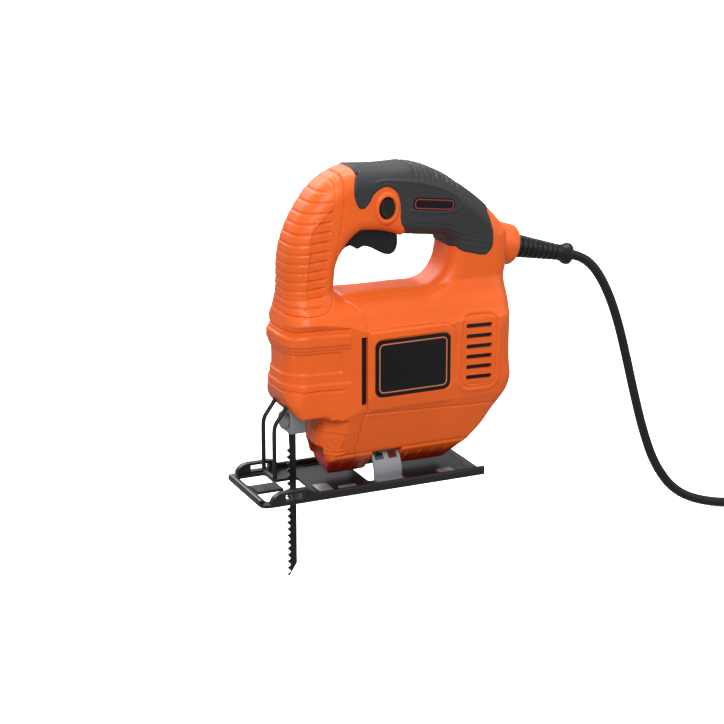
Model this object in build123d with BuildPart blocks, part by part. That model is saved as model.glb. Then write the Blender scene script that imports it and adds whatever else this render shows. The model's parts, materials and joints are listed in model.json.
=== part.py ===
from build123d import *
from math import cos, sin, pi, radians
import os

# Jigsaw. Origin: centre of the sole's flat underside. -X is the cutting end, +Z is up. Millimetres.

# ---- sole ----
SOLE_L, SOLE_W, SOLE_T = 146.0, 60.0, 1.8
RAIL_T, RAIL_H = 2.6, 5.2
WINDOW_FRONT, WINDOW_REAR, WINDOW_HALF = -68.0, -50.0, 23.5
TONGUE_HALF = 6.0
NOTCH_REAR, NOTCH_HALF = -35.0, 9.0
TILT_Z = 4.0                                   # height of the bevel axis above the underside

# ---- bevel cradle between sole and housing ----
CRADLE_R, CRADLE_T = 20.0, 1.6
CRADLE_X0, CRADLE_X1 = 4.0, 22.0
BEVEL_SCREW_X = (8.6, 17.4)
BEVEL_SCREW_R = 2.5
BEVEL_MAX = 45.0
FLANGE_CLEAR_Z = 21.2                          # the cradle's flanges swing up to here

# ---- housing ----
WALL, GRIP_T = 3.0, 1.4
BODY_HALF, NOSE_HALF, HANDLE_HALF = 28.5, 22.5, 17.0
KEEL_HALF, KEEL_Z = 17.4, 19.0
BOTTOM_Z, BOTTOM_HALF = 5.6, 4.0
FRONT_X, REAR_X = -53.2, 97.2
NOSE_R, TAIL_R = 18.5, 17.0

# ---- drive ----
MOTOR_Z = 76.0
SHAFT_R, RUN = 4.0, 0.04                       # RUN: radial running clearance
BEARING_R, BEARING_W = 9.5, 6.0
FRONT_BEARING_X, REAR_BEARING_X = -17.0, 82.0
STACK_R, STACK_X0, STACK_X1 = 24.0, 20.0, 58.0
CORE_R, AIR_GAP = 14.0, 0.6
MODULE, PINION_TEETH, GEAR_TEETH = 0.8, 8, 48
GEAR_X0, GEAR_X1 = -28.0, -22.0
CENTRE_GAP = 0.1                               # extra centre distance, for backlash
GEAR_Z = MOTOR_Z + MODULE * (PINION_TEETH + GEAR_TEETH) / 2 + CENTRE_GAP
STROKE = 16.0
ROLLER_R, ROLLER_X0 = 4.2, -30.1

# ---- plunger and blade ----
PLUNGER_X, PLUNGER_R = -37.5, 4.0
PLUNGER_Z0, PLUNGER_Z1 = 50.0, 131.0
BUSH_R = 6.5
LOWER_BUSH_Z, UPPER_BUSH_Z, BUSH_H = 67.5, 119.0, 9.5
CLAMP_X0, CLAMP_X1, CLAMP_HALF, CLAMP_Z0 = -45.0, -34.0, 6.0, 34.5
CLAMP_SCREW_Z, CLAMP_SCREW_R = 42.5, 5.5
BLADE_X0, BLADE_X1, BLADE_T, BLADE_TIP_Z = -45.1, -39.2, 1.2, -58.0
TOOTH_PITCH, TOOTH_DEPTH, TOOTH_COUNT = 4.2, 1.9, 19
GUARD_R, GUARD_Y, GUARD_X, GUARD_Z = 1.3, 8.6, -56.4, 9.0

# ---- switch ----
TRIGGER_HALF, TRIGGER_PIN = 6.5, (-6.5, 152.0)
MOUTH = ((-13.5, 26.0), (-TRIGGER_HALF - 0.6, TRIGGER_HALF + 0.6), (140, 160))
PIN_R = 1.5
BUTTON_X, BUTTON_Z, BUTTON_A, BUTTON_B, BUTTON_TRAVEL = 12.8, 169.3, 5.0, 6.3, 4.0
SWITCH_HALF, SWITCH_Z0, SWITCH_Z1 = 8.0, 162.0, 180.0

# ---- housing screws: (x, z) of each boss ----
BOSSES = [(-36.0, 160.0), (-14.0, 181.0), (36.0, 181.0), (66.0, 159.0), (87.0, 112.0),
          (86.0, 50.0), (50.0, 26.0), (-14.0, 32.0)]
BOSS_R, HEAD_BOSS_R = 3.8, 5.6
SCREW_R, SCREW_HEAD_R, HEAD_Y = 1.8, 3.4, 10.0

# ---- mains cord ----
CORD_R = 3.0
CORD_TILT = 13.8                               # the exit points this far below level, in degrees
EXIT = (145.0, 0.0, 124.1)
FLOOR_Z = BLADE_TIP_Z - 0.3
COIL_X, COIL_R, COIL_BAND = 318.0, 33.0, 9.0

os.makedirs("parts", exist_ok=True)


def write(builder, name):
    builder.part.label = name
    export_step(builder.part, f"parts/{name}.step")


# ------------------------------------------------------------------ housing envelope
def side_view(inset):
    """Column, handle, motor body and keel from the side."""
    with BuildSketch(Plane.XZ.offset(-40)) as view:
        with BuildLine():
            Polyline((-28.0, 47.0), (-43.5, 47.0))
            ThreePointArc((-43.5, 47.0), (-50.6, 57.5), (-53.0, 70.0))
            Line((-53.0, 70.0), (-52.4, 97.0))
            ThreePointArc((-52.4, 97.0), (-49.4, 114.0), (-48.3, 135.0))
            ThreePointArc((-48.3, 135.0), (-43.8, 157.0), (-33.0, 175.6))
            ThreePointArc((-33.0, 175.6), (-21.5, 186.8), (-5.0, 193.2))
            ThreePointArc((-5.0, 193.2), (10.0, 192.1), (28.5, 192.2))
            ThreePointArc((28.5, 192.2), (47.4, 187.4), (61.4, 178.9))
            ThreePointArc((61.4, 178.9), (78.8, 165.6), (95.0, 148.5))
            ThreePointArc((95.0, 148.5), (96.6, 134.0), (94.0, 118.0))
            Line((94.0, 118.0), (94.0, 62.0))
            ThreePointArc((94.0, 62.0), (91.6, 49.6), (84.6, 38.5))
            Polyline((84.6, 38.5), (56.5, 2.0), (-19.1, 2.0), (-29.5, 27.0), (-28.0, 47.0))
        make_face()
        if inset:
            offset(amount=-inset, kind=Kind.ARC)
    return view.sketch


def finger_opening(grow):
    """The hole in the D-handle, with the trigger's mouth at its top front."""
    with BuildSketch(Plane.XZ.offset(-40)) as hole:
        with BuildLine():
            Line((-18.0, 133.0), (-18.5, 124.0))
            ThreePointArc((-18.5, 124.0), (-17.0, 120.2), (-13.0, 118.8))
            Line((-13.0, 118.8), (36.0, 118.3))
            ThreePointArc((36.0, 118.3), (50.0, 123.0), (56.4, 136.0))
            ThreePointArc((56.4, 136.0), (55.4, 144.6), (48.0, 149.0))
            Polyline((48.0, 149.0), (27.0, 151.6), (24.0, 150.5))
            ThreePointArc((24.0, 150.5), (11.0, 155.0), (-2.0, 156.0))
            ThreePointArc((-2.0, 156.0), (-12.0, 146.5), (-18.0, 133.0))
        make_face()
        if grow:
            offset(amount=grow, kind=Kind.ARC)
    return hole.sketch


def cross_section(inset):
    """Front view: keel with 45 degree flanks, motor body, shoulders and handle."""
    with BuildSketch(Plane.YZ.offset(-120)) as view:
        with BuildLine():
            Polyline((0, BOTTOM_Z), (BOTTOM_HALF, BOTTOM_Z), (KEEL_HALF, KEEL_Z), (KEEL_HALF, 25.0),
                     (24.0, 46.0))
            ThreePointArc((24.0, 46.0), (27.3, 52.0), (BODY_HALF, 60.0))
            Line((BODY_HALF, 60.0), (BODY_HALF, 93.0))
            ThreePointArc((BODY_HALF, 93.0), (25.5, 108.0), (HANDLE_HALF, 121.0))
            Polyline((HANDLE_HALF, 121.0), (HANDLE_HALF, 200.0), (0, 200.0))
            mirror(about=Plane.YZ)
        make_face()
        if inset:
            offset(amount=-inset, kind=Kind.ARC)
    return view.sketch


def plan_view(inset):
    """Top view: round nose, widening to the motor body, round tail."""
    front, rear, nose, wide = FRONT_X + inset, REAR_X - inset, NOSE_HALF - inset, BODY_HALF + 2 - inset
    with BuildSketch(Plane.XY) as view:
        with BuildLine():
            Polyline((front, 0), (front, nose), (-34.0, nose), (3.0, wide), (rear, wide), (rear, 0))
            mirror(about=Plane.XZ)
        make_face()
        fillet(view.vertices().group_by(Axis.X)[0], radius=NOSE_R - inset)
        fillet(view.vertices().group_by(Axis.X)[-1], radius=TAIL_R - inset)
    return view.sketch


def envelope(inset):
    """The housing's outer shape, shrunk everywhere by inset."""
    with BuildPart() as shape:
        extrude(side_view(inset), amount=80)
        extrude(cross_section(inset), amount=240, mode=Mode.INTERSECT)
        extrude(plan_view(inset), amount=220, mode=Mode.INTERSECT)
        extrude(finger_opening(inset), amount=80, mode=Mode.SUBTRACT)
    return shape.part


OUTER = envelope(0.0)
UNDER_GRIP = envelope(GRIP_T)
CAVITY = envelope(WALL)

# The cord leaves along this line, which slopes down to the rear.
CORD_DIR = Vector(cos(radians(CORD_TILT)), 0, -sin(radians(CORD_TILT)))


def on_cord_axis(x):
    """A plane square to the cord's exit line, where the line is at this x."""
    centre = Vector(*EXIT) + CORD_DIR * ((x - EXIT[0]) / CORD_DIR.X)
    return Plane(origin=centre, x_dir=(0, 1, 0), z_dir=CORD_DIR)


def block(x, y, z, mode=Mode.ADD):
    """A box from its low and high limits on each axis."""
    with Locations(((x[0] + x[1]) / 2, (y[0] + y[1]) / 2, (z[0] + z[1]) / 2)):
        Box(x[1] - x[0], y[1] - y[0], z[1] - z[0], mode=mode)


def bore_x(radius, x, z, mode=Mode.SUBTRACT, y=0.0):
    """A cylinder along X from x[0] to x[1]."""
    with Locations(Location(((x[0] + x[1]) / 2, y, z), (0, 90, 0))):
        Cylinder(radius, x[1] - x[0], mode=mode)


def bore_y(radius, y, x, z, mode=Mode.SUBTRACT):
    """A cylinder along Y from y[0] to y[1]."""
    with Locations(Location((x, (y[0] + y[1]) / 2, z), (90, 0, 0))):
        Cylinder(radius, y[1] - y[0], mode=mode)


def bore_z(radius, z, x, y=0.0, mode=Mode.SUBTRACT):
    """A cylinder along Z from z[0] to z[1]."""
    with Locations((x, y, (z[0] + z[1]) / 2)):
        Cylinder(radius, z[1] - z[0], mode=mode)


def grip_region():
    """Side view of the soft grip, with the lobe and the bay round the lock button."""
    with BuildSketch(Plane.XZ.offset(-40)) as view:
        with BuildLine():
            Spline((-5.0, 200.0), (-7.6, 184.0), (-7.6, 174.0), (-2.6, 168.8), (3.0, 173.5), (7.0, 179.8),
                   (13.4, 182.2), (19.4, 178.6), (21.6, 170.0), (21.4, 161.0), (25.6, 150.0))
            Polyline((25.6, 150.0), (25.6, 140.0), (56.0, 140.0), (66.0, 135.5), (78.0, 133.2))
            Spline((78.0, 133.2), (84.5, 140.0), (84.0, 154.0), (90.0, 165.0))
            Polyline((90.0, 165.0), (60.0, 200.0), (-5.0, 200.0))
        make_face()
    return view.sketch


with BuildPart() as grip:
    extrude(grip_region(), amount=80)
    add(OUTER, mode=Mode.INTERSECT)
    add(UNDER_GRIP, mode=Mode.SUBTRACT)
    block(*MOUTH, Mode.SUBTRACT)
GRIP = grip.part

# ------------------------------------------------------------------ housing shell
LABEL_X, LABEL_Z, LABEL_L, LABEL_H = 24.9, 75.6, 49.2, 35.0
LABEL_T, LABEL_SUNK = 1.0, 0.5
SLOT_X0, SLOT_X1, SLOT_Z0, SLOT_Z1 = -8.2, -3.6, 53.0, 96.0
VENT_X0, VENT_X1, VENT_Z, VENT_PITCH, VENT_H = 59.5, 78.5, 78.5, 6.4, 3.2
SEAT_GAP = 0.05


with BuildPart() as ribs:
    block((-54, PLUNGER_X + 7.5), (-10, 10), (LOWER_BUSH_Z, LOWER_BUSH_Z + BUSH_H))
    block((-54, PLUNGER_X + 7.5), (-10, 10), (UPPER_BUSH_Z, UPPER_BUSH_Z + BUSH_H))
    block((FRONT_BEARING_X, FRONT_BEARING_X + BEARING_W), (-30, 30), (42, 117))
    block((STACK_X0 + 2, STACK_X0 + 5), (-30, 30), (42, 117))
    block((STACK_X1 - 5, STACK_X1 - 2), (-30, 30), (42, 117))
    block((REAR_BEARING_X, 96), (-13, 13), (MOTOR_Z - 13, MOTOR_Z + 13))
    block((CRADLE_X0 - 4, CRADLE_X1 + 4), (-30, 30), (0, 38))
    for x, z in BOSSES:
        bore_y(BOSS_R, (-30, 0), x, z, Mode.ADD)
        bore_y(HEAD_BOSS_R, (0, 30), x, z, Mode.ADD)
    add(OUTER, mode=Mode.INTERSECT)

with BuildPart() as shell:
    add(OUTER)
    add(CAVITY, mode=Mode.SUBTRACT)
    add(ribs.part)
    with BuildSketch(on_cord_axis(92.0)):
        Circle(13.0)
    with BuildSketch(on_cord_axis(104.0)):
        Circle(11.6)
    loft()
    add(GRIP, mode=Mode.SUBTRACT)
    # plunger, bushes and the open underside of the nose
    block((-49.6, -30.0), (-7.4, 7.4), (40, LOWER_BUSH_Z), Mode.SUBTRACT)
    for z in (LOWER_BUSH_Z, UPPER_BUSH_Z):
        bore_z(BUSH_R + SEAT_GAP, (z - 1, z + BUSH_H + 1), PLUNGER_X)
    for y in (-GUARD_Y, GUARD_Y):
        bore_z(GUARD_R + SEAT_GAP, (45, 62), -48.2, y)
    # motor seats
    bore_x(BEARING_R + SEAT_GAP, (FRONT_BEARING_X - 1, FRONT_BEARING_X + BEARING_W + 1), MOTOR_Z)
    bore_x(SHAFT_R + SEAT_GAP, (FRONT_BEARING_X - 1, FRONT_BEARING_X + BEARING_W), GEAR_Z)
    bore_x(STACK_R + SEAT_GAP, (STACK_X0 + 1, STACK_X1 - 1), MOTOR_Z)
    bore_x(BEARING_R + SEAT_GAP, (REAR_BEARING_X - 1, REAR_BEARING_X + BEARING_W), MOTOR_Z)
    # concave seat for the bevel cradle, and its screws
    bore_x(CRADLE_R + 0.4, (CRADLE_X0 - 1.0, CRADLE_X1 + 1.0), TILT_Z)
    for side in (-1, 1):
        block((CRADLE_X0 - 1.0, CRADLE_X1 + 1.0), sorted((side * 13.6, side * 30)), (0, FLANGE_CLEAR_Z), Mode.SUBTRACT)
    for x in BEVEL_SCREW_X:
        bore_z(BEVEL_SCREW_R + SEAT_GAP, (20, 36), x)
    # blower mouth behind the blade
    block((-34, -14), (-11, 11), (10, 24), Mode.SUBTRACT)
    # side slots, vents, lock button, trigger mouth and its pin
    for side in (-1, 1):
        y = sorted((side * 18.0, side * 31.0))
        block((SLOT_X0, SLOT_X1), y, (SLOT_Z0, SLOT_Z1), Mode.SUBTRACT)
        for row in range(6):
            z = VENT_Z + (row - 2.5) * VENT_PITCH
            block((VENT_X0, VENT_X1), y, (z - VENT_H / 2, z + VENT_H / 2), Mode.SUBTRACT)
    with BuildSketch(Plane.XZ.offset(11)):
        with Locations((BUTTON_X, BUTTON_Z)):
            Ellipse(BUTTON_A + 0.4, BUTTON_B + 0.4)
    extrude(amount=10, mode=Mode.SUBTRACT)
    block(*MOUTH, Mode.SUBTRACT)
    bore_y(PIN_R + SEAT_GAP, (-9.2, 9.2), *TRIGGER_PIN)
    # cord entry
    with BuildSketch(on_cord_axis(86.0)):
        Circle(7.5)
    extrude(amount=8, mode=Mode.SUBTRACT)
    with BuildSketch(on_cord_axis(86.0)):
        Circle(6.1)
    extrude(amount=30, mode=Mode.SUBTRACT)
    # label bed on the left side, screw holes from the right side
    block((LABEL_X - LABEL_L / 2 - 0.1, LABEL_X + LABEL_L / 2 + 0.1), (-BODY_HALF - 1, -BODY_HALF + LABEL_SUNK),
          (LABEL_Z - LABEL_H / 2 - 0.1, LABEL_Z + LABEL_H / 2 + 0.1), Mode.SUBTRACT)
    for x, z in BOSSES:
        bore_y(SCREW_R + SEAT_GAP, (-10, HEAD_Y + 1), x, z)
        bore_y(SCREW_HEAD_R + 0.4, (HEAD_Y, 31), x, z)

with BuildPart() as housing_left:
    add(shell.part)
    split(bisect_by=Plane.XZ, keep=Keep.TOP)
write(housing_left, "housing_left")

with BuildPart() as housing_right:
    add(shell.part)
    split(bisect_by=Plane.XZ, keep=Keep.BOTTOM)
write(housing_right, "housing_right")

with BuildPart() as grip_left:
    add(GRIP)
    split(bisect_by=Plane.XZ, keep=Keep.TOP)
write(grip_left, "grip_left")

with BuildPart() as grip_right:
    add(GRIP)
    split(bisect_by=Plane.XZ, keep=Keep.BOTTOM)
write(grip_right, "grip_right")

with BuildPart() as label_plate:
    with BuildSketch(Plane.XZ.offset(BODY_HALF - LABEL_SUNK)):
        with Locations((LABEL_X, LABEL_Z)):
            RectangleRounded(LABEL_L, LABEL_H, 5.0)
    extrude(amount=LABEL_T)
write(label_plate, "label_plate")

BADGE_X, BADGE_Z, BADGE_L, BADGE_H, BADGE_TURN = 43.2, 168.9, 27.4, 7.6, -7.0
with BuildPart() as grip_badge:
    with BuildSketch(Plane.XZ.offset(HANDLE_HALF)):
        with Locations(Location((BADGE_X, BADGE_Z, 0), BADGE_TURN)):
            SlotOverall(BADGE_L, BADGE_H)
    extrude(amount=0.5)
write(grip_badge, "grip_badge")

with BuildPart() as housing_screws:
    for x, z in BOSSES:
        bore_y(SCREW_R, (-9, HEAD_Y), x, z, Mode.ADD)
        bore_y(SCREW_HEAD_R, (HEAD_Y, HEAD_Y + 2.4), x, z, Mode.ADD)
        block((x - 2.2, x + 2.2), (HEAD_Y + 1.4, HEAD_Y + 3), (z - 0.5, z + 0.5), Mode.SUBTRACT)
        block((x - 0.5, x + 0.5), (HEAD_Y + 1.4, HEAD_Y + 3), (z - 2.2, z + 2.2), Mode.SUBTRACT)
write(housing_screws, "housing_screws")

# ------------------------------------------------------------------ switch
with BuildPart() as trigger:
    with BuildSketch(Plane.XZ.offset(-TRIGGER_HALF)):
        with BuildLine():
            Spline((-12.0, 142.4), (-3.7, 146.4), (7.9, 143.9), (19.7, 138.8), (24.6, 144.6),
                   tangents=((1.0, 0.9), (0.1, 1.0)))
            Polyline((24.6, 144.6), (24.0, 153.5), (18.0, 157.0), (-8.0, 157.0), (-11.5, 151.0), (-12.0, 142.4))
        make_face()
    extrude(amount=2 * TRIGGER_HALF)
    bore_y(PIN_R + RUN, (-10, 10), *TRIGGER_PIN)
write(trigger, "trigger")

with BuildPart() as trigger_pin:
    bore_y(PIN_R, (-9, 9), *TRIGGER_PIN, Mode.ADD)
write(trigger_pin, "trigger_pin")

SPRING_X = 14.0
with BuildPart() as trigger_spring:
    bore_z(2.6, (157.1, SWITCH_Z0), SPRING_X, 0, Mode.ADD)
    bore_z(1.9, (150, 170), SPRING_X)
write(trigger_spring, "trigger_spring")

with BuildPart() as switch_module:
    block((-3.0, 29.0), (-SWITCH_HALF, SWITCH_HALF), (SWITCH_Z0, SWITCH_Z1))
    chamfer(switch_module.edges().filter_by(Axis.Y), 1.5)
write(switch_module, "switch_module")

with BuildPart() as lock_button:
    with BuildSketch(Plane.XZ.offset(12.6)):
        with Locations((BUTTON_X, BUTTON_Z)):
            Ellipse(BUTTON_A, BUTTON_B)
    extrude(amount=5.2)
    fillet(lock_button.edges().group_by(Axis.Y)[0], 0.8)
    bore_y(3.2, (-16.6, -12), BUTTON_X, BUTTON_Z)
write(lock_button, "lock_button")

with BuildPart() as lock_spring:
    bore_y(2.8, (-12.4, -SWITCH_HALF), BUTTON_X, BUTTON_Z, Mode.ADD)
    bore_y(2.1, (-13, -7), BUTTON_X, BUTTON_Z)
write(lock_spring, "lock_spring")

with BuildPart() as capacitor:
    block((40, 57), (-6, 6), (158, 172))
    chamfer(capacitor.edges().filter_by(Axis.X), 1.0)
write(capacitor, "capacitor")

# ------------------------------------------------------------------ motor
with BuildPart() as armature_shaft:
    bore_x(SHAFT_R, (FRONT_BEARING_X - 0.5, REAR_BEARING_X + BEARING_W), MOTOR_Z, Mode.ADD)
write(armature_shaft, "armature_shaft")

SLOTS = 12
with BuildPart() as armature_core:
    with BuildSketch(Plane.YZ.offset(STACK_X0)):
        with Locations((0, MOTOR_Z)):
            Circle(CORE_R)
            Circle(SHAFT_R, mode=Mode.SUBTRACT)
            with PolarLocations(CORE_R - 2.5, SLOTS):
                Rectangle(6.0, 2.4, mode=Mode.SUBTRACT)
    extrude(amount=STACK_X1 - STACK_X0)
write(armature_core, "armature_core")

with BuildPart() as armature_windings:
    for x0, x1 in ((STACK_X0 - 7, STACK_X0), (STACK_X1, STACK_X1 + 7)):
        bore_x(CORE_R - 1.2, (x0, x1), MOTOR_Z, Mode.ADD)
    bore_x(SHAFT_R, (STACK_X0 - 8, STACK_X1 + 8), MOTOR_Z)
    fillet(armature_windings.edges().filter_by(lambda e: abs(e.length - 2 * pi * (CORE_R - 1.2)) < 0.1), 2.0)
write(armature_windings, "armature_windings")

COMM_R, COMM_X0, COMM_X1 = 9.0, 67.0, 79.0
with BuildPart() as commutator:
    with BuildSketch(Plane.YZ.offset(COMM_X0)):
        with Locations((0, MOTOR_Z)):
            Circle(COMM_R)
            Circle(SHAFT_R, mode=Mode.SUBTRACT)
            with PolarLocations(COMM_R, 2 * SLOTS):
                Rectangle(1.6, 0.5, mode=Mode.SUBTRACT)
    extrude(amount=COMM_X1 - COMM_X0)
write(commutator, "commutator")

FAN_X0, FAN_X1, FAN_R, FAN_BLADES = -9.0, 3.0, 21.5, 11
with BuildPart() as cooling_fan:
    bore_x(7.0, (FAN_X0 + 2, FAN_X1), MOTOR_Z, Mode.ADD)
    bore_x(FAN_R, (FAN_X1 - 1.6, FAN_X1), MOTOR_Z, Mode.ADD)
    with BuildSketch(Plane.YZ.offset(FAN_X0)):
        with Locations((0, MOTOR_Z)):
            with PolarLocations(14.0, FAN_BLADES):
                Rectangle(14.4, 1.4, rotation=12)
    extrude(amount=FAN_X1 - FAN_X0)
    bore_x(SHAFT_R, (FAN_X0, FAN_X1), MOTOR_Z)
write(cooling_fan, "cooling_fan")


def bearing(name, x0):
    """Ball bearing 8 x 19 x 6 with a shallow groove in each face."""
    with BuildPart() as ring:
        bore_x(BEARING_R, (x0, x0 + BEARING_W), MOTOR_Z, Mode.ADD)
        bore_x(SHAFT_R + RUN, (x0, x0 + BEARING_W), MOTOR_Z)
        for x in (x0, x0 + BEARING_W - 0.5):
            with BuildSketch(Plane.YZ.offset(x)):
                with Locations((0, MOTOR_Z)):
                    Circle(8.0)
                    Circle(5.6, mode=Mode.SUBTRACT)
            extrude(amount=0.5, mode=Mode.SUBTRACT)
    write(ring, name)


bearing("front_bearing", FRONT_BEARING_X)
bearing("rear_bearing", REAR_BEARING_X)

POLE_HALF = 8.0
with BuildPart() as field_stack:
    bore_x(STACK_R, (STACK_X0, STACK_X1), MOTOR_Z, Mode.ADD)
    bore_x(20.0, (STACK_X0, STACK_X1), MOTOR_Z)
    block((STACK_X0, STACK_X1), (-POLE_HALF, POLE_HALF), (MOTOR_Z - 21, MOTOR_Z + 21))
    bore_x(CORE_R + AIR_GAP, (STACK_X0, STACK_X1), MOTOR_Z)
write(field_stack, "field_stack")

with BuildPart() as field_coils:
    for z in ((MOTOR_Z + 14.9, MOTOR_Z + 18.4), (MOTOR_Z - 18.4, MOTOR_Z - 14.9)):
        block((STACK_X0 - 5, STACK_X1 + 5), (-POLE_HALF - 4.2, POLE_HALF + 4.2), z)
    fillet(field_coils.edges().filter_by(Axis.Z), 2.0)
    with BuildSketch(Plane.YZ.offset(STACK_X0 - 6)):
        with Locations((0, MOTOR_Z)):
            Circle(19.9)
    extrude(amount=60, mode=Mode.INTERSECT)
    block((STACK_X0 - 0.1, STACK_X1 + 0.1), (-POLE_HALF - 0.1, POLE_HALF + 0.1), (MOTOR_Z - 20, MOTOR_Z + 20),
          Mode.SUBTRACT)
write(field_coils, "field_coils")

BRUSH_X0, BRUSH_X1, BRUSH_H = 69.5, 76.5, 5.0
with BuildPart() as brush_holders:
    for side in (-1, 1):
        block((BRUSH_X0 - 1, BRUSH_X1 + 1), sorted((side * 10.5, side * 25.4)),
              (MOTOR_Z - BRUSH_H / 2 - 1, MOTOR_Z + BRUSH_H / 2 + 1))
        block((BRUSH_X0, BRUSH_X1), sorted((side * 10, side * 24.4)),
              (MOTOR_Z - BRUSH_H / 2, MOTOR_Z + BRUSH_H / 2), Mode.SUBTRACT)
write(brush_holders, "brush_holders")

with BuildPart() as carbon_brushes:
    for side in (-1, 1):
        block((BRUSH_X0, BRUSH_X1), sorted((side * (COMM_R + 0.05), side * 18.0)),
              (MOTOR_Z - BRUSH_H / 2, MOTOR_Z + BRUSH_H / 2))
    bore_x(COMM_R + 0.1, (BRUSH_X0 - 1, BRUSH_X1 + 1), MOTOR_Z)
write(carbon_brushes, "carbon_brushes")

with BuildPart() as brush_springs:
    for side in (-1, 1):
        bore_y(2.2, sorted((side * 18.0, side * 24.4)), 73.0, MOTOR_Z, Mode.ADD)
    bore_y(1.5, (-30, 30), 73.0, MOTOR_Z)
write(brush_springs, "brush_springs")

# ------------------------------------------------------------------ reduction gear and crank
TOOTH_FILL = 0.42                              # share of the pitch that a tooth takes at the pitch circle


def gear_profile(teeth, phase):
    """A gear's outline as a root circle and one tapered tooth per pitch."""
    pitch_r = MODULE * teeth / 2
    root_r, tip_r = pitch_r - 1.2 * MODULE, pitch_r + 0.95 * MODULE
    half = pi * MODULE * TOOTH_FILL / 2
    Circle(root_r)
    with PolarLocations(0, teeth, start_angle=phase):
        Polygon((root_r - 0.4, -half * 1.35), (root_r - 0.4, half * 1.35), (tip_r, half * 0.55),
                (tip_r, -half * 0.55), align=None)


with BuildPart() as motor_pinion:
    with BuildSketch(Plane.YZ.offset(GEAR_X0 - 0.5)):
        with Locations((0, MOTOR_Z)):
            gear_profile(PINION_TEETH, 90 + 180 / PINION_TEETH)
    extrude(amount=FRONT_BEARING_X - 0.5 - GEAR_X0 + 0.5)
write(motor_pinion, "motor_pinion")

with BuildPart() as drive_gear:
    with BuildSketch(Plane.YZ.offset(GEAR_X0)):
        with Locations((0, GEAR_Z)):
            gear_profile(GEAR_TEETH, -90)
            Circle(SHAFT_R + RUN, mode=Mode.SUBTRACT)
    extrude(amount=GEAR_X1 - GEAR_X0)
    bore_x(2.5, (GEAR_X0, GEAR_X1), GEAR_Z - STROKE / 2)
write(drive_gear, "drive_gear")

with BuildPart() as crank_roller:
    bore_x(ROLLER_R, (ROLLER_X0, GEAR_X0), GEAR_Z - STROKE / 2, Mode.ADD)
    bore_x(2.5, (GEAR_X0, GEAR_X1), GEAR_Z - STROKE / 2, Mode.ADD)
write(crank_roller, "crank_roller")

with BuildPart() as gear_axle:
    bore_x(SHAFT_R, (GEAR_X0 + 0.5, FRONT_BEARING_X + BEARING_W), GEAR_Z, Mode.ADD)
write(gear_axle, "gear_axle")

# ------------------------------------------------------------------ plunger, clamp and blade
with BuildPart() as plunger_rod:
    bore_z(PLUNGER_R, (PLUNGER_Z0, PLUNGER_Z1), PLUNGER_X, 0, Mode.ADD)
write(plunger_rod, "plunger_rod")

YOKE_Z = GEAR_Z - STROKE / 2
with BuildPart() as plunger_yoke:
    block((-34.6, -30.5), (-14.5, 14.5), (YOKE_Z - 7.2, YOKE_Z + 7.2))
    block((-36.0, -30.0), (-12.4, 12.4), (YOKE_Z - ROLLER_R - 0.1, YOKE_Z + ROLLER_R + 0.1), Mode.SUBTRACT)
    fillet(plunger_yoke.edges().filter_by(Axis.X), 1.2)
    bore_z(PLUNGER_R, (YOKE_Z - 10, YOKE_Z + 10), PLUNGER_X)
write(plunger_yoke, "plunger_yoke")


def bush(name, z0):
    with BuildPart() as tube:
        bore_z(BUSH_R, (z0, z0 + BUSH_H), PLUNGER_X, 0, Mode.ADD)
        bore_z(PLUNGER_R + RUN, (z0, z0 + BUSH_H), PLUNGER_X)
    write(tube, name)


bush("lower_bush", LOWER_BUSH_Z)
bush("upper_bush", UPPER_BUSH_Z)

TANG_X0, TANG_X1 = -43.75, -39.1
with BuildPart() as blade_clamp:
    block((CLAMP_X0, CLAMP_X1), (-CLAMP_HALF, CLAMP_HALF), (CLAMP_Z0, PLUNGER_Z0))
    fillet(blade_clamp.edges().filter_by(Axis.Z), 1.2)
    block((TANG_X0 - 0.02, TANG_X1 + 0.02), (-BLADE_T / 2 - 0.05, BLADE_T / 2 + 0.05), (CLAMP_Z0, PLUNGER_Z0 - 1),
          Mode.SUBTRACT)
    bore_x(2.0, (CLAMP_X0, TANG_X0), CLAMP_SCREW_Z)
write(blade_clamp, "blade_clamp")

with BuildPart() as clamp_screw:
    bore_x(CLAMP_SCREW_R, (CLAMP_X0 - 3.4, CLAMP_X0 - 0.3), CLAMP_SCREW_Z, Mode.ADD)
    with BuildSketch(Plane.YZ.offset(CLAMP_X0 - 3.4)):
        with Locations((0, CLAMP_SCREW_Z)):
            with PolarLocations(CLAMP_SCREW_R + 0.2, 20):
                Circle(0.5)
    extrude(amount=3.1, mode=Mode.SUBTRACT)
    bore_x(2.0, (CLAMP_X0 - 0.3, TANG_X0), CLAMP_SCREW_Z, Mode.ADD)
write(clamp_screw, "clamp_screw")

with BuildPart() as saw_blade:
    with BuildSketch(Plane.XZ.offset(-BLADE_T / 2)):
        with BuildLine():
            back = [(TANG_X0, PLUNGER_Z0 - 1), (TANG_X1, PLUNGER_Z0 - 1), (BLADE_X1, CLAMP_Z0 - 1.0),
                    (BLADE_X1, BLADE_TIP_Z + 8.0), (BLADE_X0 + 0.4, BLADE_TIP_Z)]
            teeth = []
            for tooth in range(TOOTH_COUNT):
                z = BLADE_TIP_Z + 5.0 + tooth * TOOTH_PITCH
                teeth += [(BLADE_X0 + TOOTH_DEPTH, z - TOOTH_PITCH * 0.75), (BLADE_X0, z)]
            top = [(BLADE_X0 + TOOTH_DEPTH, teeth[-1][1] + 1.2), (TANG_X0, CLAMP_Z0 - 1.0)]
            Polyline(*back, *teeth, *top, back[0])
        make_face()
    extrude(amount=BLADE_T)
write(saw_blade, "saw_blade")

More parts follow.
